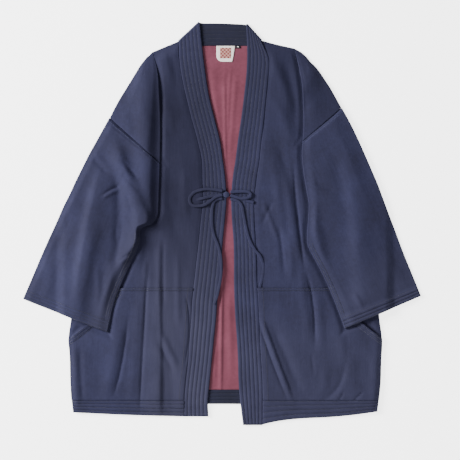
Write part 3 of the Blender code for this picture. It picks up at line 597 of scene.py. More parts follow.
# Depth of all creases, and the soft swell and crumple of the cloth between them
CREASE_GAIN = 1.15
CREASE_POINTS = 40
CREASE_REACH = 3.0
CREASE_TAPER = 0.3
MOUTH_GAPE = 2
SHOULDER_BOW = {"right": 0.8, "left": -0.8}
SHOULDER_BOW_POWER = 6
FRONT_SWELL = 3.2
SLEEVE_SWELL = 3
CRUMPLE = 0.7

# Camera and stage
CAMERA_AIM = (16.0, -12.0)
CAMERA_HEIGHT = 3000.0
CAMERA_VIEW = 920.0
SENSOR = 36.0
FLOOR_REACH = 6.0
FLOOR_LEVEL = -0.0002

# A wave texture of scale 1 has bands 0.31 m apart, so this draws them two thread widths apart
WAVE_DIVISOR = 6.283

# Where a second tone of the cloth, which is painted shade and light, begins and where it is full: axis,
# from and to in metres
SHADE_AND_LIGHT_LIMITS = {
    "off_right_edge": ("X", -0.19, -0.12),
    "right_of_middle": ("X", 0.03, -0.05),
    "below_shoulder": ("Y", 0.41, 0.23),
    "towards_hem": ("Y", 0.06, -0.22),
    "lowest": ("Y", -0.12, -0.28),
    "upper": ("Y", 0.10, 0.30),
    "left": ("X", -0.10, 0.02),
}

# How the share of that painted shade and light is worked out: the right front in full, and the lowest
# part and the upper left more weakly, all broken up by the clouds
SHADE_AND_LIGHT_STEPS = (
    ("right_front", "MULTIPLY", "off_right_edge", "right_of_middle"),
    ("band", "MULTIPLY", "right_front", "below_shoulder"),
    ("low", "MULTIPLY", "lowest", "off_right_edge"),
    ("weak_low", "MULTIPLY", "low", 0.5),
    ("upper_left", "MULTIPLY", "upper", "left"),
    ("weaker", "MULTIPLY_ADD", "upper_left", 0.55, "weak_low"),
    ("widest", "MAXIMUM", "band", "weaker"),
    ("uneven", "MULTIPLY", "widest", "clouds"),
    ("share", "MULTIPLY", "uneven", 1.5),
)


def linear(hex_colour):
    """An sRGB hex colour as linear values with full alpha."""
    parts = [int(hex_colour[i:i + 2], 16) / 255.0 for i in (1, 3, 5)]
    return (*[p / 12.92 if p <= 0.04045 else ((p + 0.055) / 1.055) ** 2.4 for p in parts], 1.0)


def node(tree, kind, settings=None, feeds=None, **inputs):
    """Add a node with its properties, and its inputs as values or as the sockets that feed them."""
    made = tree.nodes.new(kind)
    for key, value in (settings or {}).items():
        setattr(made, key, value)
    for key, value in inputs.items():
        made.inputs[key.replace("_", " ")].default_value = value
    for key, source in (feeds or {}).items():
        if isinstance(source, bpy.types.NodeSocket):
            tree.links.new(source, made.inputs[key])
        else:
            made.inputs[key].default_value = source
    return made


def new_material(name, **looks):
    """A material whose shader has the given values, with its node tree and shader inputs."""
    made = bpy.data.materials.new(name)
    made.use_nodes = True
    shader = made.node_tree.nodes["Principled BSDF"].inputs
    for key, value in looks.items():
        shader[key.replace("_", " ")].default_value = value
    return made, made.node_tree, shader


def put(name, data):
    """A new object in the scene."""
    made = bpy.data.objects.new(name, data)
    bpy.context.scene.collection.objects.link(made)
    return made


def painted_shade_and_light(tree, place, colour, clouds, shade_and_light_tones):
    """Mix painted shade and light into a colour with soft limits: a darker, bluer painted shade above,
    and a lighter, greyer tone below that is partly painted light.
    """
    axes = node(tree, "ShaderNodeSeparateXYZ", {}, {"Vector": place}).outputs
    shares = {"clouds": clouds.outputs["Fac"]}
    for name, (axis, start, full) in SHADE_AND_LIGHT_LIMITS.items():
        ramp = node(tree, "ShaderNodeMapRange", {"interpolation_type": "SMOOTHSTEP"},
                    {"Value": axes[axis], "From Min": start, "From Max": full})
        shares[name] = ramp.outputs[0]
    for name, operation, *terms in SHADE_AND_LIGHT_STEPS:
        step = node(tree, "ShaderNodeMath", {"operation": operation, "use_clamp": True},
                    {number: shares.get(term, term) for number, term in enumerate(terms)})
        shares[name] = step.outputs[0]
    tone = node(tree, "ShaderNodeMix", {"data_type": "RGBA"},
                {"Factor": shares["towards_hem"], "A": linear(shade_and_light_tones[0]), "B": linear(shade_and_light_tones[1])})
    return node(tree, "ShaderNodeMix", {"data_type": "RGBA"},
                {"Factor": shares["share"], "A": colour.outputs["Result"],
                 "B": tone.outputs["Result"]})


def cloth_material(name, deep, light, roughness, sheen, sheen_tint, thread_mm, bump_mm, cloud_mm,
                   shade_and_light_tones=None):
    """A woven or knitted cloth: two close colours in soft clouds, threads and a fine nap.

    Cotton has a dull face with a faint sheen at a glance. The clouds are wear, the fluff and
    the streaks are the nap. Threads are drawn coarser than real ones, so that they show.
    """
    made, tree, shader = new_material(name, Roughness=roughness, Specular_IOR_Level=0.25,
                                      Sheen_Weight=sheen, Sheen_Roughness=0.45,
                                      Sheen_Tint=linear(sheen_tint))
    place = node(tree, "ShaderNodeTexCoord").outputs["UV"]
    clouds = node(tree, "ShaderNodeTexNoise", {}, {"Vector": place}, Scale=1000.0 / cloud_mm,
                  Detail=4.0, Roughness=0.6)
    fluff_mm, streak_mm = 7.0, 9.0
    fluff = node(tree, "ShaderNodeTexNoise", {}, {"Vector": place}, Scale=1000.0 / fluff_mm,
                 Detail=4.0, Roughness=0.75)
    both = node(tree, "ShaderNodeMath", {"operation": "MULTIPLY_ADD"},
                {0: fluff.outputs["Fac"], 1: 0.6, 2: clouds.outputs["Fac"]})
    spread = node(tree, "ShaderNodeMapRange", {}, {"Value": both.outputs[0]}, From_Min=0.55,
                  From_Max=1.05)
    colour = node(tree, "ShaderNodeMix", {"data_type": "RGBA"},
                  {"Factor": spread.outputs[0], "A": linear(deep), "B": linear(light)})
    # Painted shade and light: a second tone, darker above and lighter towards the hem
    if shade_and_light_tones:
        colour = painted_shade_and_light(tree, place, colour, clouds, shade_and_light_tones)
    warp, weft = (node(tree, "ShaderNodeTexWave", {"bands_direction": direction},
                       {"Vector": place}, Scale=1000.0 / thread_mm / WAVE_DIVISOR,
                       Distortion=1.5, Detail=2.0) for direction in "XY")
    threads = node(tree, "ShaderNodeMath", {"operation": "MULTIPLY"},
                   {0: warp.outputs["Fac"], 1: weft.outputs["Fac"]})
    drawn = node(tree, "ShaderNodeMapping", {}, {"Vector": place}, Scale=(1.0, 0.16, 1.0))
    streaks = node(tree, "ShaderNodeTexNoise", {}, {"Vector": drawn.outputs[0]},
                   Scale=1000.0 / streak_mm, Detail=3.0, Roughness=0.6)
    worn = node(tree, "ShaderNodeMath", {"operation": "MULTIPLY_ADD"},
                {0: streaks.outputs["Fac"], 1: 2.2, 2: fluff.outputs["Fac"]})
    height = node(tree, "ShaderNodeMath", {"operation": "MULTIPLY_ADD"},
                  {0: threads.outputs[0], 1: 0.35, 2: worn.outputs[0]})
    bump = node(tree, "ShaderNodeBump", {}, {"Height": height.outputs[0]}, Strength=0.5,
                Distance=bump_mm * MM)
    tree.links.new(colour.outputs["Result"], shader["Base Color"])
    tree.links.new(bump.outputs["Normal"], shader["Normal"])
    return made


def smoothstep(value):
    """0 below 0, 1 above 1 and a soft curve between."""
    value = np.clip(value, 0.0, 1.0)
    return value * value * (3.0 - 2.0 * value)


def read(table, key, column=1):
    """A value of a table at a key in its first column, on a smooth curve through its rows."""
    rows = np.array(sorted(table), dtype=float)
    xs, ys = rows[:, 0], rows[:, column]
    slopes = np.gradient(ys, xs)
    key = np.clip(np.asarray(key, dtype=float), xs[0], xs[-1])
    place = np.clip(np.searchsorted(xs, key, side="right") - 1, 0, len(xs) - 2)
    width = xs[place + 1] - xs[place]
    t = (key - xs[place]) / width
    a = ys[place] * (2 * t ** 3 - 3 * t ** 2 + 1) + ys[place + 1] * (3 * t ** 2 - 2 * t ** 3)
    return a + width * (slopes[place] * (t ** 3 - 2 * t ** 2 + t)
                        + slopes[place + 1] * (t ** 3 - t ** 2))


def smooth_rows(table, steps):
    """Rows of a table with smooth rows put between them."""
    rows = np.array(table, dtype=float)
    ends = np.vstack((2 * rows[0] - rows[1], rows, 2 * rows[-1] - rows[-2]))
    made = []
    for number in range(1, len(ends) - 2):
        a, b, c, d = ends[number - 1:number + 3]
        for t in np.arange(steps) / steps:
            made.append(0.5 * (2 * b + (c - a) * t + (2 * a - 5 * b + 4 * c - d) * t ** 2
                               + (3 * b - a - 3 * c + d) * t ** 3))
    made.append(rows[-1])
    return np.array(made)


def creases(table, x, y):
    """Height of the creases of a table at points, each along its own smooth curve."""
    x, y = np.asarray(x, dtype=float), np.asarray(y, dtype=float)
    total = np.zeros(np.broadcast(x, y).shape)
    points = np.stack((np.broadcast_to(x, total.shape).ravel(),
                       np.broadcast_to(y, total.shape).ravel()), axis=1)
    flat = total.ravel()
    for ax, ay, mx, my, bx, by, right, left, height in table:
        a, m, b = np.array((ax, ay)), np.array((mx, my)), np.array((bx, by))
        control = 2 * m - (a + b) / 2
        t = np.linspace(0.0, 1.0, CREASE_POINTS)[:, None]
        line = a * (1 - t) ** 2 + 2 * control * t * (1 - t) + b * t ** 2
        tangent = np.gradient(line, axis=0)
        step = np.linalg.norm(tangent, axis=1)
        tangent = tangent / step[:, None]
        reach = CREASE_REACH * max(right, left)
        near = np.all((points > line.min(axis=0) - reach) & (points < line.max(axis=0) + reach),
                      axis=1)
        if not near.any():
            continue
        spot = points[near]
        gap = np.linalg.norm(spot[:, None, :] - line[None, :, :], axis=2)
        nearest = gap.argmin(axis=1)
        offset = spot - line[nearest]
        along = nearest + (offset * tangent[nearest]).sum(axis=1) / step[nearest]
        across = -offset[:, 0] * tangent[nearest][:, 1] + offset[:, 1] * tangent[nearest][:, 0]
        share = along / (CREASE_POINTS - 1)
        taper = smoothstep(share / CREASE_TAPER) * smoothstep((1.0 - share) / CREASE_TAPER)
        width = np.where(across > 0.0, right, left)
        flat[near] += CREASE_GAIN * height * np.exp(-(across / width) ** 2) * taper
    return flat.reshape(total.shape)


def crumple(x, y):
    """Small uneven waves of worn cloth, between about -1 and 1."""
    total = np.zeros(np.broadcast(x, y).shape)
    random = np.random.default_rng(7)
    for wavelength, share in ((120.0, 0.42), (70.0, 0.3), (38.0, 0.16), (20.0, 0.07)):
        for _ in range(5):
            angle = random.uniform(0.0, math.pi) * 0.55 - 0.25
            phase = random.uniform(0.0, 2.0 * math.pi)
            bend = random.uniform(-1.0, 1.0)
            along = np.asarray(x) * math.cos(angle) + np.asarray(y) * math.sin(angle)
            other = np.asarray(y) * math.cos(angle) - np.asarray(x) * math.sin(angle)
            total = total + share * 0.5 * np.sin(
                2.0 * math.pi * along / wavelength + phase
                + bend * np.sin(2.0 * math.pi * other / (2.6 * wavelength)))
    return total


def above(height, floor):
    """Height kept softly above a floor."""
    return floor + 0.5 * (height - floor + np.sqrt((height - floor) ** 2 + 0.25))


def sinking(x, y):
    """How far cloth that passes the lower edge of the back panel sinks to the floor."""
    edge = BACK_EDGE_MIDDLE - BACK_EDGE_SIDE_DROP * (x / BACK_HALF_WIDTH) ** 2
    return SINK * smoothstep((edge - y) / SINK_LENGTH)


def rib(share, count, height):
    """A rounded rib profile: count ribs between sewn grooves, at shares across a band."""
    return height * (np.abs(np.sin(np.pi * count * share)) ** 0.55 - 0.35)


def grid_normals(mid, wrap=False, slit=None):
    """Normals of a grid of points, with the columns closed to a ring if wrap is set."""
    if wrap:
        across = np.roll(mid, -1, axis=1) - np.roll(mid, 1, axis=1)
    else:
        across = np.gradient(mid, axis=1)
    along = np.gradient(mid, axis=0)
    if slit:
        row, column = slit
        along[:row, column:] = np.gradient(mid[:row, column:], axis=0)
        along[row:, column:] = np.gradient(mid[row:, column:], axis=0)
    normals = np.cross(across, along)
    return normals / np.maximum(np.linalg.norm(normals, axis=2, keepdims=True), 1e-9)


def edge_lines(grid, axis):
    """The grid with a line put close to each of its two ends along an axis."""
    grid = np.moveaxis(grid, axis, 0)
    close = []
    for a, b in ((grid[0], grid[1]), (grid[-1], grid[-2])):
        span = np.linalg.norm((b - a)[..., :3], axis=-1, keepdims=True)
        close.append(a + (b - a) * np.minimum(0.45, EDGE_LINE / np.maximum(span, 1e-6)))
    made = np.concatenate((grid[:1], close[0][None], grid[1:-1], close[1][None], grid[-1:]))
    return np.moveaxis(made, 0, axis)


def cloth_piece(name, grid, thickness, finish, wrap=False, slit=None, up_at=(0, 0), turn=0.0):
    """A closed thin shell on a grid of middle points: x, y, z, relief above, relief below.

    Its free edges are rounded as a folded edge is. The UV map holds the lie of the cloth in
    metres, turned by an angle in degrees.
    """
    if grid.shape[2] == 3:
        grid = np.concatenate((grid, np.zeros((*grid.shape[:2], 2))), axis=2)
    grid = edge_lines(grid, 0)
    if not wrap:
        grid = edge_lines(grid, 1)
    if slit:
        slit = (slit[0] + 1, slit[1] + 1)
    mid = grid[..., :3]
    rows, columns = mid.shape[:2]
    normals = grid_normals(mid, wrap, slit)
    if normals[up_at][2] < 0.0:
        normals = -normals
    half = np.full((rows, columns), thickness / 2)
    for index, share in ((0, 0.3), (1, 0.85), (-1, 0.3), (-2, 0.85)):
        half[index, :] *= share
        if not wrap:
            half[:, index] *= share
    relief_share = half / (thickness / 2)
    upper = mid + normals * (half + grid[..., 3] * relief_share)[..., None]
    lower = mid - normals * (half + grid[..., 4] * relief_share)[..., None]

    cell_columns = columns if wrap else columns - 1
    cells = np.ones((rows - 1, cell_columns), dtype=bool)
    if slit:
        cells[slit[0] - 1, slit[1]:] = False
    count = rows * columns
    r, c = np.nonzero(cells)
    corner = np.stack((r * columns + c, r * columns + (c + 1) % columns,
                       (r + 1) * columns + (c + 1) % columns, (r + 1) * columns + c), axis=1)
    edges = np.concatenate([corner[:, (k, (k + 1) % 4)] for k in range(4)])
    keys = np.sort(edges, axis=1)
    keys = keys[:, 0].astype(np.int64) * count + keys[:, 1]
    _, first, uses = np.unique(keys, return_index=True, return_counts=True)
    rim = edges[first[uses == 1]]
    walls = np.stack((rim[:, 1], rim[:, 0], rim[:, 0] + count, rim[:, 1] + count), axis=1)
    faces = np.concatenate((corner, corner[:, ::-1] + count, walls))
    places = np.concatenate((upper.reshape(-1, 3), lower.reshape(-1, 3))) * MM
    used = np.zeros(2 * count, dtype=bool)
    used[faces.ravel()] = True
    renumber = np.cumsum(used) - 1
    faces, places = renumber[faces], places[used]

    a, b, d = (places[faces[:len(corner), k]] for k in (0, 1, 3))
    upward = np.cross(b - a, d - a)
    flip = (upward * normals.reshape(-1, 3)[corner[:, 0]]).sum() < 0.0
    if flip:
        faces = faces[:, ::-1]
    mesh = bpy.data.meshes.new(name)
    mesh.from_pydata(places.tolist(), [], faces.tolist())
    mesh.update()
    angle = math.radians(turn)
    lie = np.stack((places[:, 0] * math.cos(angle) + places[:, 1] * math.sin(angle),
                    -places[:, 0] * math.sin(angle) + places[:, 1] * math.cos(angle)), axis=1)
    loops = np.empty(len(mesh.loops), dtype=np.int32)
    mesh.loops.foreach_get("vertex_index", loops)
    layer = mesh.uv_layers.new(name="cloth")
    layer.data.foreach_set("uv", lie[loops].astype(np.float32).ravel())
    mesh.shade_smooth()
    mesh.materials.append(finish)
    return put(name, mesh)


class Side:
    """The tables and the direction of one side of the coat."""

    def __init__(self, name):
        right = name == "right"
        self.name = name
        self.sign = -1.0 if right else 1.0
        self.collar = COLLAR_RIGHT if right else COLLAR_LEFT
        self.bow = SHOULDER_BOW[name]
        self.seam_depth = ARMHOLE_DEPTH[name]
        self.neck_fold = NECK_FOLD_RIGHT if right else NECK_FOLD_LEFT
        self.shoulder = SHOULDER_RIGHT if right else SHOULDER_LEFT
        self.fold = FOLD_RIGHT if right else FOLD_LEFT
        self.edge = SIDE_RIGHT if right else SIDE_LEFT
        self.lower_edge = LOWER_EDGE_RIGHT if right else LOWER_EDGE_LEFT
        self.mouth_start = POCKET_MOUTH_START[name]
        self.sleeve = SLEEVE_RIGHT if right else SLEEVE_LEFT
        self.front_creases = FRONT_CREASES_RIGHT if right else FRONT_CREASES_LEFT
        self.shoulder_creases = SHOULDER_CREASES_RIGHT if right else SHOULDER_CREASES_LEFT
        self.sleeve_creases = SLEEVE_CREASES_RIGHT if right else SLEEVE_CREASES_LEFT

    def collar_outer(self, y):
        """Outer edge of the collar, where the front is sewn to it."""
        table = [(row[0], row[2]) for row in self.collar]
        table.append((self.neck_fold[3], self.neck_fold[2]))
        return read(table, y)

    def collar_inner(self, y):
        """Inner edge of the collar."""
        table = [(row[0], row[1]) for row in self.collar]
        table.append((self.neck_fold[1], self.neck_fold[0]))
        return read(table, y)

    def open_share(self, out, y):
        """1 where the front is seen, softly 0 where the sleeve lies on it."""
        inner = [(row[3], row[2]) for row in self.sleeve]
        inner += [row for row in self.fold if row[0] > inner[0][0] + 10.0]
        beside = smoothstep((read(inner, y) - 0.5 - out) / EDGE_SOFT)
        cuff = self.sleeve[-1]
        slope = (cuff[1] - cuff[3]) / (cuff[0] - cuff[2])
        cuff_y = cuff[3] + slope * (out - cuff[2])
        below = smoothstep((cuff_y - 2.0 - y) / EDGE_SOFT)
        return np.maximum(beside, below)

    def front_relief(self, out, y):
        """Height of the front's creases, nothing at its seams and under the sleeve."""
        beside = out - self.collar_outer(y)
        near = COLLAR_SIDE_LEAST + (1.0 - COLLAR_SIDE_LEAST) * smoothstep(beside / COLLAR_SIDE_SOFT)
        from_collar = near * smoothstep((beside + 1.0) / COLLAR_SEAM_SOFT)
        x = self.sign * out
        from_side = smoothstep((read(self.edge, y) - out) / EDGE_SOFT)
        swell = FRONT_SWELL * (SIDE_SWELL_LEAST + (1.0 - SIDE_SWELL_LEAST) * from_side)
        height = swell + creases(self.front_creases, x, y) + CRUMPLE * crumple(x, y)
        height = above(height, RELIEF_FLOOR) * (1.0 - mouth_dip(self, out, y))
        return height * self.open_share(out, y) * from_collar


def pocket_top_line(side, out):
    """y of the pocket's top edge: level, then along its slanted, curved mouth."""
    end = float(read(side.edge, POCKET_MOUTH_END_Y))
    share = np.clip((out - side.mouth_start) / (end - side.mouth_start), 0.0, 1.0)
    return POCKET_TOP_Y + (POCKET_MOUTH_END_Y - POCKET_TOP_Y) * share ** (1.0 / POCKET_MOUTH_CURVE)


def mouth_share(side, out):
    """1 along the open part of the pocket's mouth, softly 0 at its two ends."""
    end = float(read(side.edge, POCKET_MOUTH_END_Y))
    begins = smoothstep((out - side.mouth_start - MOUTH_START_SHUT) / MOUTH_SOFT)
    return begins * smoothstep((end - MOUTH_END_SHUT - out) / MOUTH_SOFT)


def mouth_dip(side, out, y):
    """How much flatter the front lies just beyond the pocket's mouth."""
    beyond = y - pocket_top_line(side, out)
    dip = MOUTH_DIP * mouth_share(side, out) * smoothstep(beyond / MOUTH_DIP_START)
    return dip * (1.0 - smoothstep((beyond - MOUTH_DIP_FULL) / MOUTH_DIP_END))


def tuck_profile(turn, length):
    """Points of the tuck, as distances out from its visible fold and up from the chest."""
    radius = TUCK_RADIUS
    turn = math.radians(turn)
    points = []
    for step in range(TURN_STEPS + 1):
        angle = turn * step / TURN_STEPS
        points.append((radius * math.sin(angle), radius * (1.0 - math.cos(angle))))
    top = (points[-1][0] + length * math.cos(turn), points[-1][1] + length * math.sin(turn))
    for step in range(TURN_STEPS + 1):
        angle = turn * (TURN_STEPS - step) / TURN_STEPS
        points.append((top[0] + radius * (math.sin(turn) - math.sin(angle)),
                       top[1] + radius * (math.cos(angle) - math.cos(turn))))
    fold = min(point[0] for point in points[TURN_STEPS + 1:])
    return [(point[0] - fold, point[1]) for point in points]


def chest_outs(side, collar_y, last_out):
    """Distances out of the chest columns: under the collar, beside it, and on to the fold."""
    edge = float(side.collar_outer(collar_y))
    neck_share = smoothstep((collar_y - NECK_LAP_FROM) / NECK_LAP_LENGTH)
    first = edge + COLLAR_EDGE_GAP - NECK_LAP_CLOSER * neck_share
    lap = COLLAR_LAP * (1.0 + NECK_LAP_GAIN * neck_share)
    steps = np.arange(CHEST_COLUMNS) / (CHEST_COLUMNS - 1)
    return np.concatenate(([edge - lap], first + (last_out - first) * steps))


def seam_edge_height(side):
    """Height of the upper sleeve layer at the shoulder end of the armhole seam."""
    out, y = side.sleeve[0][0], side.sleeve[0][1]
    return under_sleeve(side, np.array([out]), np.array([y]), 0.0)[0] + CLOTH * 1.5 + SLEEVE_AIR


def shoulder_line(side, row, shoulder_share):
    """Points across a shoulder: the chest, the tuck, and the flap out to the sleeve's seam."""
    collar_y, fold_y, edge_out, edge_y, turn, length = row
    profile = tuck_profile(turn, length)
    fold = float(read(side.fold, fold_y))
    slope = (edge_y - fold_y) / (edge_out - fold)
    inner = chest_outs(side, collar_y, fold + profile[0][0])
    under_fold_y = fold_y + profile[0][0] * slope
    inner_y = collar_y + (under_fold_y - collar_y) * (inner - inner[0]) / (inner[-1] - inner[0])
    bow = np.sin(np.pi * np.clip((inner - inner[0]) / (fold - inner[0]), 0.0, 1.0))
    inner_y = inner_y + side.bow * bow * shoulder_share ** SHOULDER_BOW_POWER
    inner, inner_y = inner[:-1], inner_y[:-1]
    fade = 1.0 - smoothstep((shoulder_share - 1.0 + NECK_FADE) / NECK_FADE)
    height = FRONT_MID + side.front_relief(inner, inner_y) * fade
    points = [(side.sign * a, b, c) for a, b, c in zip(inner, inner_y, height)]
    points += [(side.sign * (fold + a), fold_y + a * slope, FRONT_MID + b) for a, b in profile]
    top_out, top_rise = fold + profile[-1][0], FRONT_MID + profile[-1][1]
    top_y = fold_y + profile[-1][0] * slope
    edge_height = seam_edge_height(side) * (1 - shoulder_share) + FRONT_MID * shoulder_share
    share = np.arange(1, FLAP_COLUMNS + 1) / FLAP_COLUMNS
    out = top_out + (edge_out - top_out) * share
    y = top_y + (edge_y - top_y) * share
    raised = creases(side.shoulder_creases, side.sign * out, y)
    raised = raised + 1.0 + CRUMPLE * crumple(side.sign * out, y)
    raised = raised * smoothstep(share / FLAP_EDGE) * smoothstep((1.0 - share) / FLAP_EDGE) * fade
    z = top_rise + (edge_height - top_rise) * share ** FLAP_FALL + raised
    dip = ARMHOLE_DIP * side.seam_depth
    to_seam = (share - 1.0 + ARMHOLE_DIP_WIDTH) / ARMHOLE_DIP_WIDTH
    z = z - dip * smoothstep(to_seam) * (1.0 - shoulder_share)
    points += [(side.sign * a, b, c) for a, b, c in zip(out, y, z)]
    return np.array(points)


def front_grid(side):
    """Middle points of a front, and the slit below its shoulder."""
    last = CHEST_COLUMNS + 2 * TURN_STEPS + 1 + FLAP_COLUMNS
    seam_y = side.shoulder[0][0]
    fold_seam_y = side.shoulder[0][1]
    edge_top_out, edge_top_y = side.edge[-2][1], side.edge[-2][0]

    def outs_at(level_y, edge_y):
        fold = float(read(side.fold, level_y))
        edge = float(read(side.edge, edge_y))
        inner = chest_outs(side, level_y, fold)
        rest = last - CHEST_COLUMNS
        return np.concatenate((inner, fold + (edge - fold) * np.arange(1, rest + 1) / rest))

    def underarm_line(out):
        fold = float(read(side.fold, fold_seam_y))
        share = smoothstep((out - fold) / (edge_top_out - fold)) ** UNDERARM_CURVE
        level = seam_y - UNDERARM_DROP + (fold_seam_y - seam_y) * np.clip(out / fold, 0.0, 1.0)
        return level + (edge_top_y - level) * share

    lines = []
    for row in range(POCKET_ROWS + 1):
        share = 1.0 - (1.0 - row / POCKET_ROWS) ** POCKET_ROW_CROWDING
        out = outs_at(HEM_BAND_TOP + (POCKET_TOP_Y - HEM_BAND_TOP) * share,
                      HEM_BAND_TOP + (POCKET_MOUTH_END_Y - HEM_BAND_TOP) * share)
        lines.append((out, (HEM_BAND_TOP + GAP) * (1 - share) + pocket_top_line(side, out) * share))
    for row in range(1, SIDE_ROWS + 1):
        share = row / SIDE_ROWS
        out = outs_at(POCKET_TOP_Y + (seam_y - UNDERARM_DROP - POCKET_TOP_Y) * share,
                      POCKET_MOUTH_END_Y + (edge_top_y - POCKET_MOUTH_END_Y) * share)
        lines.append((out, pocket_top_line(side, out) * (1 - share) + underarm_line(out) * share))
    mid = [np.column_stack((side.sign * out, y, FRONT_MID + side.front_relief(out, y)))
           for out, y in lines]

    rows = smooth_rows(side.shoulder, SHOULDER_STEPS)
    for number, row in enumerate(rows):
        mid.append(shoulder_line(side, row, number / (len(rows) - 1)))
    return np.array(mid), (POCKET_ROWS + SIDE_ROWS + 1, CHEST_COLUMNS)


def under_sleeve(side, out, y, run):
    """Height of a sleeve's underside: on the body, on the pocket, or on the floor."""
    on_front = FRONT_TOP + GAP
    out_on_shoulder = out - side.sleeve[0][2] - SEAM_SINK_FROM
    near_seam = smoothstep(out_on_shoulder / SEAM_SINK_LENGTH) * (1 - smoothstep(run / SEAM_SINK_RUN))
    level = on_front - CLOTH * near_seam
    level = level + POCKET_RISE * smoothstep((POCKET_RISE_Y - y) / POCKET_RISE_LENGTH)
    outside = out - read(side.edge, y)
    return level * (1.0 - smoothstep((outside - SLEEVE_SLOPE_START) / SLEEVE_SLOPE_LENGTH))


def corner_lift(side, out, y):
    """How far a sleeve stands off the front round the corner of its inner edge."""
    corner_out, corner_y, lift = SLEEVE_CORNER[side.name]
    away = np.hypot(out - corner_out, y - corner_y)
    return lift * np.exp(-(away / CORNER_REACH) ** 2)


def felled(distance, start, end):
    """Relief of a felled seam: the strip of doubled cloth between two distances."""
    rise = smoothstep((distance - start) / FELL_SOFT) - smoothstep((distance - end) / FELL_SOFT)
    return FELL_HEIGHT * rise


def sleeve_rows(side):
    """Rows of a sleeve, divided finely at its armhole seam and at the ribs of its cuff."""
    rows = smooth_rows(side.sleeve, SLEEVE_STEPS)
    middle = (rows[:, :2] + rows[:, 2:]) / 2
    run = np.concatenate(([0.0], np.cumsum(np.linalg.norm(np.diff(middle, axis=0), axis=1))))
    places = np.union1d(run, ARMHOLE_LINES)
    rows = np.column_stack([np.interp(places, run, rows[:, column]) for column in range(4)])
    seam = rows[ARMHOLE_ROW] - rows[0]
    gap = ARMHOLE_GAP * side.seam_depth
    rows[0] = rows[0] + seam * gap / float(np.hypot(seam[2], seam[3]))
    end = rows[-1]
    lengths = np.hypot(rows[:, 0] - end[0], rows[:, 1] - end[1])
    start = int(np.argmax(lengths < CUFF_HEM + 4.0))
    direction = (rows[-1] - rows[-4]) / float(np.hypot(*(rows[-1] - rows[-4])[:2]))
    steps = RIB_STEPS * CUFF_RIBS
    cuff = [end - direction * CUFF_HEM * (1.0 - step / steps) for step in range(steps + 1)]
    return list(rows[:start]) + cuff, start


def turned_edge(place, outward, low, high, turns):
    """Points round a folded edge of a sleeve, between its upper and its lower layer."""
    middle, half = (high + low) / 2, (high - low) / 2
    return [(*(place + outward * math.sin(turn)), middle + half * math.cos(turn), 0.0, 0.0)
            for turn in turns]


def sleeve_layers(side, plan, inner_y, from_inner, from_outer, run):
    """Heights of the lower and the upper layer of a sleeve at the points of one ring."""
    out, y = plan[:, 0], plan[:, 1]
    low = under_sleeve(side, out, y, run) + CLOTH / 2 + corner_lift(side, out, y)
    from_corner = inner_y - (SLEEVE_CORNER[side.name][1] - CORNER_EDGE_SHIFT)
    at_corner = side.seam_depth * math.exp(-(from_corner / CORNER_EDGE_REACH) ** 2)
    inner_round = INNER_EDGE_ROUND - CORNER_EDGE_SHARPER * at_corner
    edge_fade = smoothstep(from_inner / inner_round)
    edge_fade = edge_fade * smoothstep(from_outer / OUTER_EDGE_ROUND[side.name])
    seam_fade = smoothstep(run / ARMHOLE_FADE)
    x = side.sign * out
    raised = creases(side.sleeve_creases, x, y) * seam_fade
    roll = creases(side.shoulder_creases, x, y)
    loose = raised + roll + (SLEEVE_SWELL + CRUMPLE * crumple(x, y)) * seam_fade
    high = low + 2 * SLEEVE_HALF + above(loose, SLEEVE_RELIEF_FLOOR) * edge_fade
    over = np.maximum(high - SLEEVE_ROOF, 0.0) / SLEEVE_ROOF_ROOM
    return low, np.where(over > 0.0, SLEEVE_ROOF + SLEEVE_ROOF_ROOM * np.tanh(over), high)


def sleeve_grid(side):
    """Rings of a flattened sleeve tube, with the creases and the ribs of its cuff."""
    rows, cuff_start = sleeve_rows(side)
    count = SLEEVE_COLUMNS
    turns = [math.pi * step / SLEEVE_EDGE_STEPS for step in range(1, SLEEVE_EDGE_STEPS)]
    first = (rows[0][:2] + rows[0][2:]) / 2
    rings = []
    for number, row in enumerate(rows):
        outer, inner = np.array((row[0], row[1])), np.array((row[2], row[3]))
        width = float(np.hypot(*(outer - inner)))
        across = (outer - inner) / width
        run = number / (len(rows) - 1)
        inset = SLEEVE_HALF / width
        near = np.minimum(np.arange(SEAM_COLUMNS) * SEAM_COLUMN_WIDTH / width, 1.0)
        far = np.linspace(near[-1], 1.0, count - SEAM_COLUMNS + 1)[1:]
        shares = inset + (1.0 - 2.0 * inset) * np.concatenate((near, far))
        plan = inner[None, :] + (outer - inner)[None, :] * shares[:, None]
        low, high = sleeve_layers(side, plan, inner[1], shares * width, (1.0 - shares) * width,
                                  run)
        down = float(np.hypot(*((outer + inner) / 2 - first)))
        underarm = float(smoothstep((run - UNDERARM_RUN) / UNDERARM_SOFT))
        rib_line = side.seam_depth * felled(down, *ARMHOLE_FELL)
        rib_line = rib_line + underarm * felled(shares * width, *UNDERARM_FELL)
        if number >= cuff_start:
            step = (number - cuff_start) / (len(rows) - 1 - cuff_start)
            rib_line[:] = rib(step, CUFF_RIBS, CUFF_RIB_HEIGHT) + 0.25
        ring = [(*plan[i], high[i], rib_line[i], 0.0) for i in range(count)]
        ring += turned_edge(plan[-1], across * SLEEVE_HALF, low[-1], high[-1], turns)
        ring += [(*plan[i], low[i], 0.0, 0.0) for i in reversed(range(count))]
        ring += turned_edge(plan[0], -across * SLEEVE_HALF, low[0], high[0], turns[::-1])
        rings.append([(side.sign * x, y, z, up, under) for x, y, z, up, under in ring])
    return np.array(rings)


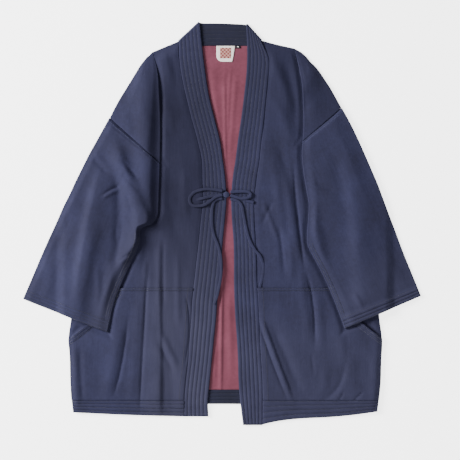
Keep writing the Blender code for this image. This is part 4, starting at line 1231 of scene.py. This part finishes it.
def collar_grid():
    """Cross lines of the collar band, from the right front round the neck to the left front."""
    shares = np.arange(COLLAR_RIBS * RIB_STEPS + 1) / (COLLAR_RIBS * RIB_STEPS)

    def front_keys(side):
        made = []
        for y in [row[0] for row in side.collar]:
            lean = NECK_LEAN * float(smoothstep((y - NECK_LEAN_FROM) / NECK_LEAN_LENGTH))
            free_y = y + (side.neck_fold[1] - side.neck_fold[3]) * lean
            made.append((side.sign * float(side.collar_outer(y)), y,
                         side.sign * float(side.collar_inner(free_y)), free_y,
                         COLLAR_MID, 1.0, 0.0))
        return made

    def turn_keys(side):
        inner, inner_y, outer, outer_y = side.neck_fold
        run = np.array((side.sign * (inner - outer), inner_y - outer_y))
        down = np.array((run[1], -run[0])) / np.hypot(*run)
        down = down if down[1] < 0.0 else -down
        made = []
        for angle in np.linspace(0.0, 180.0, NECK_TURN_ROWS):
            turn = math.radians(float(angle))
            shift = down * (NECK_TURN_RADIUS * (1.0 - math.sin(turn)) + NECK_TURN_SHIFT)
            height = NECK_MID + NECK_TURN_RADIUS * (1.0 + math.cos(turn))
            upper = (1.0 + math.cos(turn)) / 2
            made.append((side.sign * outer + shift[0], outer_y + shift[1],
                         side.sign * inner + shift[0], inner_y + shift[1],
                         height, upper, 1.0 - upper))
        return made

    right, left = Side("right"), Side("left")
    lower_right = smooth_rows(front_keys(right) + turn_keys(right)[:1], COLLAR_STEPS)[:-1]
    turn_right = np.array(turn_keys(right))
    neck_keys = [turn_keys(right)[-1]]
    neck_keys += [(a, b, c, d, NECK_MID, 0.0, 1.0) for a, b, c, d in NECK_ROWS]
    neck_keys += [turn_keys(left)[-1]]
    neck = smooth_rows(neck_keys, NECK_STEPS)[1:-1]
    turn_left = np.array(turn_keys(left))[::-1]
    lower_left = smooth_rows(front_keys(left) + turn_keys(left)[:1], COLLAR_STEPS)[:-1][::-1]
    keys = np.vstack((lower_right, turn_right, neck, turn_left, lower_left))
    grid = []
    profile = rib(shares, COLLAR_RIBS, COLLAR_RIB_HEIGHT)
    for seam_x, seam_y, free_x, free_y, height, first, other in keys:
        x = seam_x + (free_x - seam_x) * shares
        y = seam_y + (free_y - seam_y) * shares
        z = height - sinking(x, y) * first
        lower = float(smoothstep((COLLAR_RIB_FROM - seam_y) / COLLAR_RIB_LENGTH))
        relief = profile * (COLLAR_RIB_LEAST + COLLAR_RIB_GAIN * lower)
        grid.append(np.column_stack((x, y, z, relief * first, relief * other)))
    return np.array(grid)


def opening_row(y, columns):
    """x of points across the front opening at a level, lapping under the collar."""
    low = -float(Side("right").collar_inner(y)) - LINING_UNDERLAP
    high = float(Side("left").collar_inner(y)) + LINING_UNDERLAP
    return np.linspace(low, high, columns)


def make_lining(finish):
    """The lining where the open fronts show it, with its soft upright folds."""
    rows = []
    columns = 60
    for y in np.linspace(LINING_FOOT, LINING_HEAD, 200):
        x = opening_row(y, columns)
        share = np.linspace(0.0, 1.0, columns)
        reach = 1.0 / (x[-1] - x[0])
        hidden, soft = LINING_HIDDEN * reach, LINING_SOFT * reach
        window = smoothstep((share - hidden) / soft) * smoothstep((1.0 - share - hidden) / soft)
        height = np.maximum(creases(LINING_CREASES, x, np.full(columns, y)), LINING_FLOOR) * window
        rows.append(np.column_stack((x, np.full(columns, y), LINING_MID + height)))
    return cloth_piece("lining", np.array(rows), LINING_CLOTH, finish)


def make_back_hem(finish):
    """The turned hem of the back, with its rows of sewing."""
    rows, columns = HEM_RIBS * RIB_STEPS + 1, 24
    grid = []
    for row in range(rows):
        share = row / (rows - 1)
        y = BACK_HEM_FOOT + (LINING_FOOT - 0.4 - BACK_HEM_FOOT) * share
        x = opening_row(y, columns)
        arc = -(BACK_EDGE_SIDE_DROP * (x / BACK_HALF_WIDTH) ** 2) * (1.0 - share)
        ribs = np.full(columns, float(rib(share, HEM_RIBS, HEM_RIB_HEIGHT)))
        grid.append(np.column_stack((x, y + arc, np.full(columns, BACK_HEM_MID), ribs, ribs * 0)))
    grid = np.array(grid)
    upper, _ = faces_of(grid, BACK_HEM_CLOTH)
    made = cloth_piece("back_hem", grid, BACK_HEM_CLOTH, finish)
    return made, [at(upper, row) for row in BACK_HEM_SEWING]


def make_front(side, finish):
    """One front with its pocket and its turned hem."""
    mid, slit = front_grid(side)
    made = {"front": cloth_piece("front_panel_" + side.name, mid, CLOTH, finish, slit=slit)}
    normals = grid_normals(mid, slit=slit)
    if normals[0, 0, 2] < 0.0:
        normals = -normals
    rows = slice(0, POCKET_ROWS + 1)
    pocket = (mid[rows] + normals[rows] * POCKET_LIFT)[:, 1:]
    out, y = side.sign * pocket[..., 0], pocket[..., 1]
    top = pocket_top_line(side, out)
    in_mouth = smoothstep((out - side.mouth_start + MOUTH_LEAD) / 8.0)
    hem = smoothstep((y - top + POCKET_HEM) / 1.5) * in_mouth * POCKET_HEM_RISE
    top_turn = smoothstep(y - top + POCKET_TOP_TURN)
    relief = np.maximum(hem, top_turn)
    pocket[..., 2] += MOUTH_GAPE * mouth_share(side, out) * np.exp(-((top - y) / MOUTH_GAPE_DEPTH) ** 2)
    grid = np.concatenate((pocket, relief[..., None], relief[..., None] * 0.0), axis=2)
    made["pocket"] = cloth_piece("patch_pocket_" + side.name, grid, POCKET_CLOTH, finish)

    first = mid[0, 1:]
    out = side.sign * first[:, 0]
    lower = read(side.lower_edge, out)
    band_rows = HEM_RIBS * RIB_STEPS + 1
    band = []
    for row in range(band_rows):
        share = row / (band_rows - 1)
        y = lower + (HEM_BAND_TOP - lower) * share
        taper = HEM_TAPER * (1.0 - share)
        narrow = out * (1.0 - taper) + taper * out[0]
        shift = side.collar_outer(y[0]) - HEM_LAP - narrow[0]
        narrow = narrow + shift * np.exp(-(narrow - narrow[0]) / HEM_LAP_REACH)
        height = HEM_MID + side.front_relief(out, y) * (0.35 + 0.65 * share) - sinking(out, y)
        ribs = np.full(len(out), float(rib(share, HEM_RIBS, HEM_RIB_HEIGHT)))
        band.append(np.column_stack((side.sign * narrow, y, height, ribs, ribs * 0)))
    made["hem"] = cloth_piece("front_hem_" + side.name, np.array(band), HEM_CLOTH, finish)
    return made, front_stitches(side, grid, np.array(band))


def make_sleeve(side, finish):
    """One sleeve, an open tube pressed flat."""
    rings = sleeve_grid(side)
    made = cloth_piece("sleeve_tube_" + side.name, rings, CLOTH, finish, wrap=True,
                       up_at=(20, 30), turn=SLEEVE_TURN[side.name])
    return made, sleeve_stitches(rings)


def make_collar(finish, painted_shade_cloth):
    """The collar band with six sewn ribs. Behind the neck its inner side is seen, in a darker copy of
    the cloth that is painted shade.
    """
    grid = collar_grid()
    made = cloth_piece("collar_band", grid, COLLAR_CLOTH, finish, up_at=(20, 20))
    # The inner side behind the neck takes the darker cloth: painted shade
    made.data.materials.append(painted_shade_cloth)
    for face in made.data.polygons:
        if face.center.y > NECK_INSIDE_Y * MM and face.center.z < (NECK_MID + NECK_TURN_RADIUS) * MM:
            face.material_index = 1
    return made, collar_stitches(grid)


def even_route(points, spacing):
    """Even points on a smooth curve through a route's points."""
    dense = smooth_rows(points, 12)
    length = np.concatenate(([0.0], np.cumsum(np.linalg.norm(np.diff(dense, axis=0), axis=1))))
    even = np.linspace(0.0, length[-1], max(3, int(round(length[-1] / spacing)) + 1))
    return np.column_stack([np.interp(even, length, dense[:, axis]) for axis in range(3)])


def make_tie(name, route, finish):
    """A flat tape sewn double, with a soft ridge down each edge. Returns it and its path."""
    line = even_route(route, TIE_SPACING)
    line[:, 2] += TIE_CLOTH / 2
    direction = np.gradient(line, axis=0)
    direction[:, 2] = 0.0
    direction = direction / np.linalg.norm(direction, axis=1, keepdims=True)
    sideways = np.column_stack((-direction[:, 1], direction[:, 0], np.zeros(len(line))))
    shares = np.linspace(-0.5, 0.5, 9)
    columns = []
    for share in shares:
        ridge = np.full(len(line), TIE_RIDGE * math.sin(math.pi * (share + 0.5)) ** 0.5)
        columns.append(np.column_stack((line + sideways * TIE_WIDTH * share, ridge, ridge * 0.0)))
    grid = np.stack(columns, axis=1)
    made = cloth_piece(name, grid, TIE_CLOTH, finish, up_at=(2, 4))
    middle = even_route(route, TIE_PATH_SPACING) + (0.0, 0.0, TIE_CLOTH / 2)
    return made, [tuple(point * MM) for point in middle]


def make_knot(finish):
    """The knot: a rounded lump with the band of the tie that wraps it."""
    rows = []
    for v in np.linspace(0.02, math.pi - 0.02, 25):
        ring = []
        for u in np.linspace(0.0, 2.0 * math.pi, 40, endpoint=False):
            direction = np.array((math.cos(v), math.sin(v) * math.cos(u), math.sin(v) * math.sin(u)))
            power = np.sign(direction) * np.abs(direction) ** KNOT_ROUNDNESS
            wrap = 1.0 + 0.10 * math.exp(-((math.cos(v) + 0.05) / 0.38) ** 4)
            pinch = 1.0 - 0.10 * math.exp(-((abs(math.cos(v)) - 0.55) / 0.12) ** 2)
            size = np.array(KNOT_HALF) * (1.0, wrap * pinch, wrap * pinch) * KNOT_SIZE
            ring.append(tuple(power * size + np.array(KNOT_CENTRE)))
        rows.append(ring)
    rows = np.array(rows)
    count, around = rows.shape[:2]
    places = (rows.reshape(-1, 3) * MM).tolist()
    faces = []
    for row in range(count - 1):
        for column in range(around):
            after = (column + 1) % around
            faces.append((row * around + column, row * around + after,
                          (row + 1) * around + after, (row + 1) * around + column))
    faces.append(tuple(reversed(range(around))))
    faces.append(tuple((count - 1) * around + column for column in range(around)))
    mesh = bpy.data.meshes.new("knot")
    mesh.from_pydata(places, [], faces)
    mesh.update()
    mesh.shade_smooth()
    layer = mesh.uv_layers.new(name="cloth")
    for loop in mesh.loops:
        place = mesh.vertices[loop.vertex_index].co
        layer.data[loop.index].uv = (place.x + place.z, place.y)
    mesh.materials.append(finish)
    return put("knot", mesh)


def flat_patch(name, outline, height, thickness, finish):
    """A flat woven patch with a rounded edge, from its rows: y, x from, x to."""
    rows = []
    for y, low, high in outline:
        rows.append([(x, y, height) for x in np.linspace(low, high, 14)])
    return cloth_piece(name, np.array(rows), thickness, finish)


def make_labels(white, black, check):
    """The neck label with its check, and the small size label with a bar."""
    x_low, x_high, y_low, y_high = NECK_LABEL
    base = LINING_MID + LINING_CLOTH / 2 + 0.5 + LABEL_CLOTH / 2
    top = base + LABEL_CLOTH / 2
    outline = []
    for share in np.linspace(0.0, 1.0, 13):
        y = y_low + (y_high - y_low) * share ** 1.4
        to_corner = 1.0 - min(1.0, (y - y_low) / LABEL_CORNER)
        corner = LABEL_CORNER * (1.0 - math.sqrt(max(0.0, 1.0 - to_corner ** 2)))
        outline.append((y, x_low + corner, x_high - LABEL_SLANT * (1.0 - share)))

    def block(name, box, rows, height, thickness, finish):
        places = [(y, box[0], box[1]) for y in np.linspace(box[2], box[3], rows)]
        return flat_patch(name, places, height, thickness, finish)

    return (flat_patch("label_cloth", outline, base, LABEL_CLOTH, white),
            block("label_check", LABEL_CHECK, 8, top + 0.18, 0.3, check),
            block("size_tab", SIZE_LABEL, 5, base, LABEL_CLOTH, black),
            block("size_bar", SIZE_BAR, 2, top + 0.15, 0.2, white))


def check_material(name):
    """Woven ichimatsu check in brick red and off-white. Its yarn is matt."""
    made, tree, shader = new_material(name, Roughness=0.75)
    place = node(tree, "ShaderNodeTexCoord").outputs["UV"]
    check = node(tree, "ShaderNodeTexChecker", {},
                 {"Vector": place, "Color1": linear("#7c3833"), "Color2": linear("#b98a80")},
                 Scale=1000.0 / CHECK_SQUARE)
    tree.links.new(check.outputs["Color"], shader["Base Color"])
    return made


def thread_material(name, colour):
    """Polyester sewing thread: a soft gloss, and its twist as small changes of tone."""
    made, tree, shader = new_material(name, Roughness=0.5, Sheen_Weight=0.2)
    place = node(tree, "ShaderNodeTexCoord").outputs["Object"]
    twist_mm = 1.5
    twist = node(tree, "ShaderNodeTexNoise", {}, {"Vector": place}, Scale=1000.0 / twist_mm,
                 Detail=2.0)
    lighter = tuple(min(1.0, part * 1.5) for part in linear(colour))
    tone = node(tree, "ShaderNodeMix", {"data_type": "RGBA"},
                {"Factor": twist.outputs["Fac"], "A": linear(colour), "B": lighter})
    tree.links.new(tone.outputs["Result"], shader["Base Color"])
    return made


def faces_of(grid, thickness, wrap=False, slit=None, up_at=(0, 0)):
    """Points of the upper and the lower face of a piece's grid, with its relief."""
    normals = grid_normals(grid[..., :3], wrap, slit)
    if normals[up_at][2] < 0.0:
        normals = -normals
    relief = grid[..., 3:] if grid.shape[2] == 5 else np.zeros((*grid.shape[:2], 2))
    upper = grid[..., :3] + normals * (thickness / 2 + relief[..., :1])
    return upper, grid[..., :3] - normals * (thickness / 2 + relief[..., 1:])


def at(points, place):
    """The row of an array of points at a place between its rows."""
    low = min(int(place), len(points) - 2)
    return points[low] + (points[low + 1] - points[low]) * (place - low)


def below_edge(face, edge_y, drop, columns):
    """A line across the columns of a face, at a drop below the level of an edge."""
    line = []
    for column in columns:
        level = edge_y[column] - drop
        line.append([np.interp(level, face[:, column, 1], face[:, column, axis])
                     for axis in range(3)])
    return np.array(line)


def stitch_tree(finish):
    """Geometry nodes that lay a stitch at every pitch along lines, a little unevenly."""
    tree = bpy.data.node_groups.new("stitch_rows", "GeometryNodeTree")
    tree.interface.new_socket("Geometry", in_out="INPUT", socket_type="NodeSocketGeometry")
    for label in ("Pitch", "Stitch length", "Thread radius"):
        tree.interface.new_socket(label, in_out="INPUT", socket_type="NodeSocketFloat")
    tree.interface.new_socket("Geometry", in_out="OUTPUT", socket_type="NodeSocketGeometry")
    source = tree.nodes.new("NodeGroupInput").outputs
    curve = node(tree, "GeometryNodeMeshToCurve", {}, {"Mesh": source["Geometry"]})
    points = node(tree, "GeometryNodeCurveToPoints", {"mode": "LENGTH"},
                  {"Curve": curve.outputs["Curve"], "Length": source["Pitch"]})
    grain = node(tree, "GeometryNodeMeshIcoSphere", {}, Radius=1.0, Subdivisions=1)
    half = node(tree, "ShaderNodeMath", {"operation": "MULTIPLY"},
                {0: source["Stitch length"], 1: 0.5})
    size = node(tree, "ShaderNodeCombineXYZ", {}, {"X": source["Thread radius"],
                                                  "Y": source["Thread radius"],
                                                  "Z": half.outputs[0]})
    stitch = node(tree, "GeometryNodeTransform", {}, {"Geometry": grain.outputs["Mesh"],
                                                     "Scale": size.outputs[0]})
    vary = node(tree, "FunctionNodeRandomValue", {"data_type": "FLOAT"}, {2: 0.82, 3: 1.0}, Seed=11)
    placed = node(tree, "GeometryNodeInstanceOnPoints", {},
                  {"Points": points.outputs["Points"], "Instance": stitch.outputs["Geometry"],
                   "Rotation": points.outputs["Rotation"], "Scale": vary.outputs[1]})
    real = node(tree, "GeometryNodeRealizeInstances", {}, {"Geometry": placed.outputs["Instances"]})
    done = node(tree, "GeometryNodeSetMaterial", {}, {"Geometry": real.outputs["Geometry"]},
                Material=finish)
    out = tree.nodes.new("NodeGroupOutput")
    tree.links.new(done.outputs["Geometry"], out.inputs["Geometry"])
    return tree


def make_stitches(name, lines, tree, radius):
    """A mesh of stitches along lines of points in millimetres."""
    places, edges = [], []
    for line in lines:
        start = len(places)
        places += [tuple(float(value) * MM for value in point[:3]) for point in line]
        edges += [(start + i, start + i + 1) for i in range(len(line) - 1)]
    mesh = bpy.data.meshes.new(name + "_lines")
    mesh.from_pydata(places, edges, [])
    holder = put(name + "_lines", mesh)
    modifier = holder.modifiers.new("stitches", "NODES")
    modifier.node_group = tree
    sizes = {"Pitch": STITCH_PITCH, "Stitch length": STITCH_LENGTH, "Thread radius": radius}
    for item in tree.interface.items_tree:
        if item.name in sizes:
            modifier[item.identifier] = sizes[item.name] * MM
    bpy.context.view_layer.update()
    seen = holder.evaluated_get(bpy.context.evaluated_depsgraph_get())
    result = bpy.data.meshes.new_from_object(seen)
    bpy.data.objects.remove(holder, do_unlink=True)
    result.name = name
    return put(name, result)


def front_stitches(side, pocket, band):
    """Lines of stitches on a front: its hem, and its pocket's top, mouth and inner edge."""
    hem, _ = faces_of(band, HEM_CLOTH)
    lines = [at(hem, row)[2:-2] for row in FRONT_HEM_SEWING]
    face, _ = faces_of(pocket, POCKET_CLOTH)
    edge = face[-1, :, 1]
    out = side.sign * face[-1, :, 0]
    level = [c for c in range(1, len(out)) if out[c] < side.mouth_start]
    mouth = [c for c in range(1, len(out) - 1) if out[c] > side.mouth_start - MOUTH_LEAD]
    lines += [below_edge(face, edge, drop, level) for drop in POCKET_TOP_SEWING]
    lines += [below_edge(face, edge, drop, mouth) for drop in POCKET_MOUTH_SEWING]
    column = float(np.interp(POCKET_INNER_SEWING, out - out[0], np.arange(len(out))))
    lines.append(at(face.transpose(1, 0, 2), column))
    return lines


def sleeve_stitches(rings):
    """Lines of stitches on a sleeve: its armhole, its cuff and its underarm seam."""
    upper, _ = faces_of(rings, CLOTH, wrap=True, up_at=(20, 30))
    top = upper[:, :SLEEVE_COLUMNS]
    run = np.concatenate(([0.0], np.cumsum(np.linalg.norm(
        np.diff(top[:, SLEEVE_COLUMNS // 2], axis=0), axis=1))))
    lines = [at(top, float(np.interp(ARMHOLE_SEWING, run, np.arange(len(run)))))]
    last = len(top) - 1
    lines += [at(top, last - step * RIB_STEPS)[1:-1] for step in (CUFF_RIBS, 2, 1)]
    lines.append(at(top, last - 1.6)[1:-1])
    start = int(np.argmax(np.arange(len(top)) > 0.52 * last))
    for gap in UNDERARM_SEWING:
        column = gap / SEAM_COLUMN_WIDTH
        line = [at(top[row], column) for row in range(start, last - CUFF_RIBS * RIB_STEPS)]
        lines.append(np.array(line))
    return lines


def collar_stitches(grid):
    """Lines of stitches in the collar's grooves, on the faces that are seen."""
    upper, lower = faces_of(grid, COLLAR_CLOTH, up_at=(20, 20))
    count = len(grid)
    height = grid[:, grid.shape[1] // 2, 2]
    neck = [row for row in range(count) if height[row] < NECK_MID + 0.4 and
            grid[row, 0, 1] > NECK_FROM]
    lines = []
    for groove in range(1, COLLAR_RIBS):
        column = groove * RIB_STEPS
        lines.append(upper[1:neck[0] - NECK_TURN_ROWS + 1, column])
        lines.append(lower[neck[0]:neck[-1] + 1, column])
        lines.append(upper[neck[-1] + NECK_TURN_ROWS:-1, column])
    return lines


def area_light(name, place, size, power):
    """A soft square light that faces the middle of the coat."""
    data = bpy.data.lights.new(name, "AREA")
    data.shape = "SQUARE"
    data.size = size
    data.energy = power
    made = put(name, data)
    made.location = place
    made.rotation_euler = (-Vector(place)).to_track_quat("-Z", "Y").to_euler()


def make_studio():
    """The camera straight above, a white floor, a large key light at the left and a soft fill."""
    camera = bpy.data.cameras.new("camera")
    camera.sensor_width = SENSOR
    camera.lens = SENSOR * CAMERA_HEIGHT / CAMERA_VIEW
    holder = put("camera", camera)
    holder.location = (CAMERA_AIM[0] * MM, CAMERA_AIM[1] * MM, CAMERA_HEIGHT * MM)
    bpy.context.scene.camera = holder

    mesh = bpy.data.meshes.new("floor")
    corners = ((-1.0, -1.0), (1.0, -1.0), (1.0, 1.0), (-1.0, 1.0))
    mesh.from_pydata([(x * FLOOR_REACH, y * FLOOR_REACH, FLOOR_LEVEL) for x, y in corners],
                     [], [(0, 1, 2, 3)])
    white = linear("#ffffff")
    paper, _, _ = new_material("white_paper", Base_Color=white, Roughness=0.9,
                               Emission_Color=white, Emission_Strength=3.0)
    mesh.materials.append(paper)
    floor = put("floor", mesh)

    world = bpy.data.worlds.new("studio")
    world.use_nodes = True
    sky = world.node_tree.nodes["Background"].inputs
    sky["Color"].default_value = linear("#f7f8ff")
    sky["Strength"].default_value = 0.2
    bpy.context.scene.world = world
    area_light("key", (-3.1, 1.15, 1.75), 1.5, 425.0)
    area_light("fill", (0.3, -1.5, 1.9), 2.0, 38.0)


def settle(piece, nodes):
    """A piece rides on the coat and stands for its CAD nodes, which it hides."""
    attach(piece, "root")
    if nodes:
        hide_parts(*nodes)


def main():
    """The studio, the finishes, and each piece with what it stands for and what it rests on."""
    make_studio()
    # Both navy cloths carry painted shade and light in a second tone: darker on the chest and upper
    # left, lighter towards the hem
    navy = cloth_material("navy_cotton_jersey", "#1e1e33", "#292a45", 0.85, 0.05, "#7c88b8",
                          0.9, 0.45, 90.0, shade_and_light_tones=("#121227", "#2f2f43"))
    band = cloth_material("navy_cotton_band", "#1f1f34", "#2a2b46", 0.85, 0.05, "#7c88b8",
                          0.9, 0.25, 60.0, shade_and_light_tones=("#19192d", "#303044"))
    # A darker copy of the navy cloth, painted shade, for the back hem and the collar's inner side
    # behind the neck
    painted_shade_cloth = cloth_material("navy_cotton_painted_shade", "#151624", "#1d1e31", 0.9, 0.03, "#7c88b8",
                            0.9, 0.25, 60.0)
    rose = cloth_material("rose_cotton_lining", "#5c2b39", "#733c4c", 0.72, 0.08, "#e0a0b0",
                          0.6, 0.08, 70.0)
    white = cloth_material("woven_label_white", "#e2dad4", "#ece6e1", 0.7, 0.2, "#ffffff",
                           0.5, 0.05, 20.0)
    black = cloth_material("woven_label_black", "#101116", "#1b1c22", 0.6, 0.1, "#808090",
                           0.5, 0.05, 20.0)
    check = check_material("woven_check")
    thread = thread_material("navy_thread", "#2c3050")
    # Near-black thread for real stitches, partly painted shade: it darkens the sewn lines where the
    # grooves lie in shadow
    groove_shade_thread = thread_material("navy_thread_with_painted_groove_shade", "#10111f")

    knot = make_knot(band)
    settle(knot, ["tie_knot"])
    for name, route in TIE_ROUTES.items():
        tie, path = make_tie(name + "_tape", route, band)
        settle(tie, [name])

    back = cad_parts["back"]
    for place in back.material_slots:
        place.material = navy
    lining = make_lining(rose)
    settle(lining, ["lining_back"])
    stitches = stitch_tree(groove_shade_thread)
    light_stitches = stitch_tree(thread)
    # The back hem is drawn in the darker copy of the cloth: painted shade
    back_hem, back_lines = make_back_hem(painted_shade_cloth)
    settle(back_hem, ["hem_back"])
    for name in ("right", "left"):
        side = Side(name)
        pieces, front_lines = make_front(side, navy)
        settle(pieces["front"], ["front_" + name])
        settle(pieces["pocket"], ["pocket_" + name])
        sewn = make_stitches("sewing_front_" + name, front_lines, stitches, EDGE_THREAD)
        settle(sewn, [])
        settle(pieces["hem"], ["hem_front_" + name])
        sleeve, sleeve_lines = make_sleeve(side, navy)
        settle(sleeve, ["sleeve_" + name])
        sewn = make_stitches("sewing_cuff_" + name, sleeve_lines[1:], stitches, EDGE_THREAD)
        settle(sewn, [])
        sewn = make_stitches("sewing_sleeve_" + name, sleeve_lines[:1], light_stitches, FINE_THREAD)
        settle(sewn, [])
    collar, collar_lines = make_collar(band, painted_shade_cloth)
    sewn = make_stitches("sewing_collar", collar_lines, stitches, COLLAR_THREAD)
    settle(sewn, [])
    sewn = make_stitches("sewing_back_hem", back_lines, stitches, EDGE_THREAD)
    settle(sewn, [])
    settle(collar, ["collar"])

    label, block, tab, bar = make_labels(white, black, check)
    settle(label, ["neck_label"])
    settle(block, [])
    settle(tab, ["size_label"])
    settle(bar, [])


main()
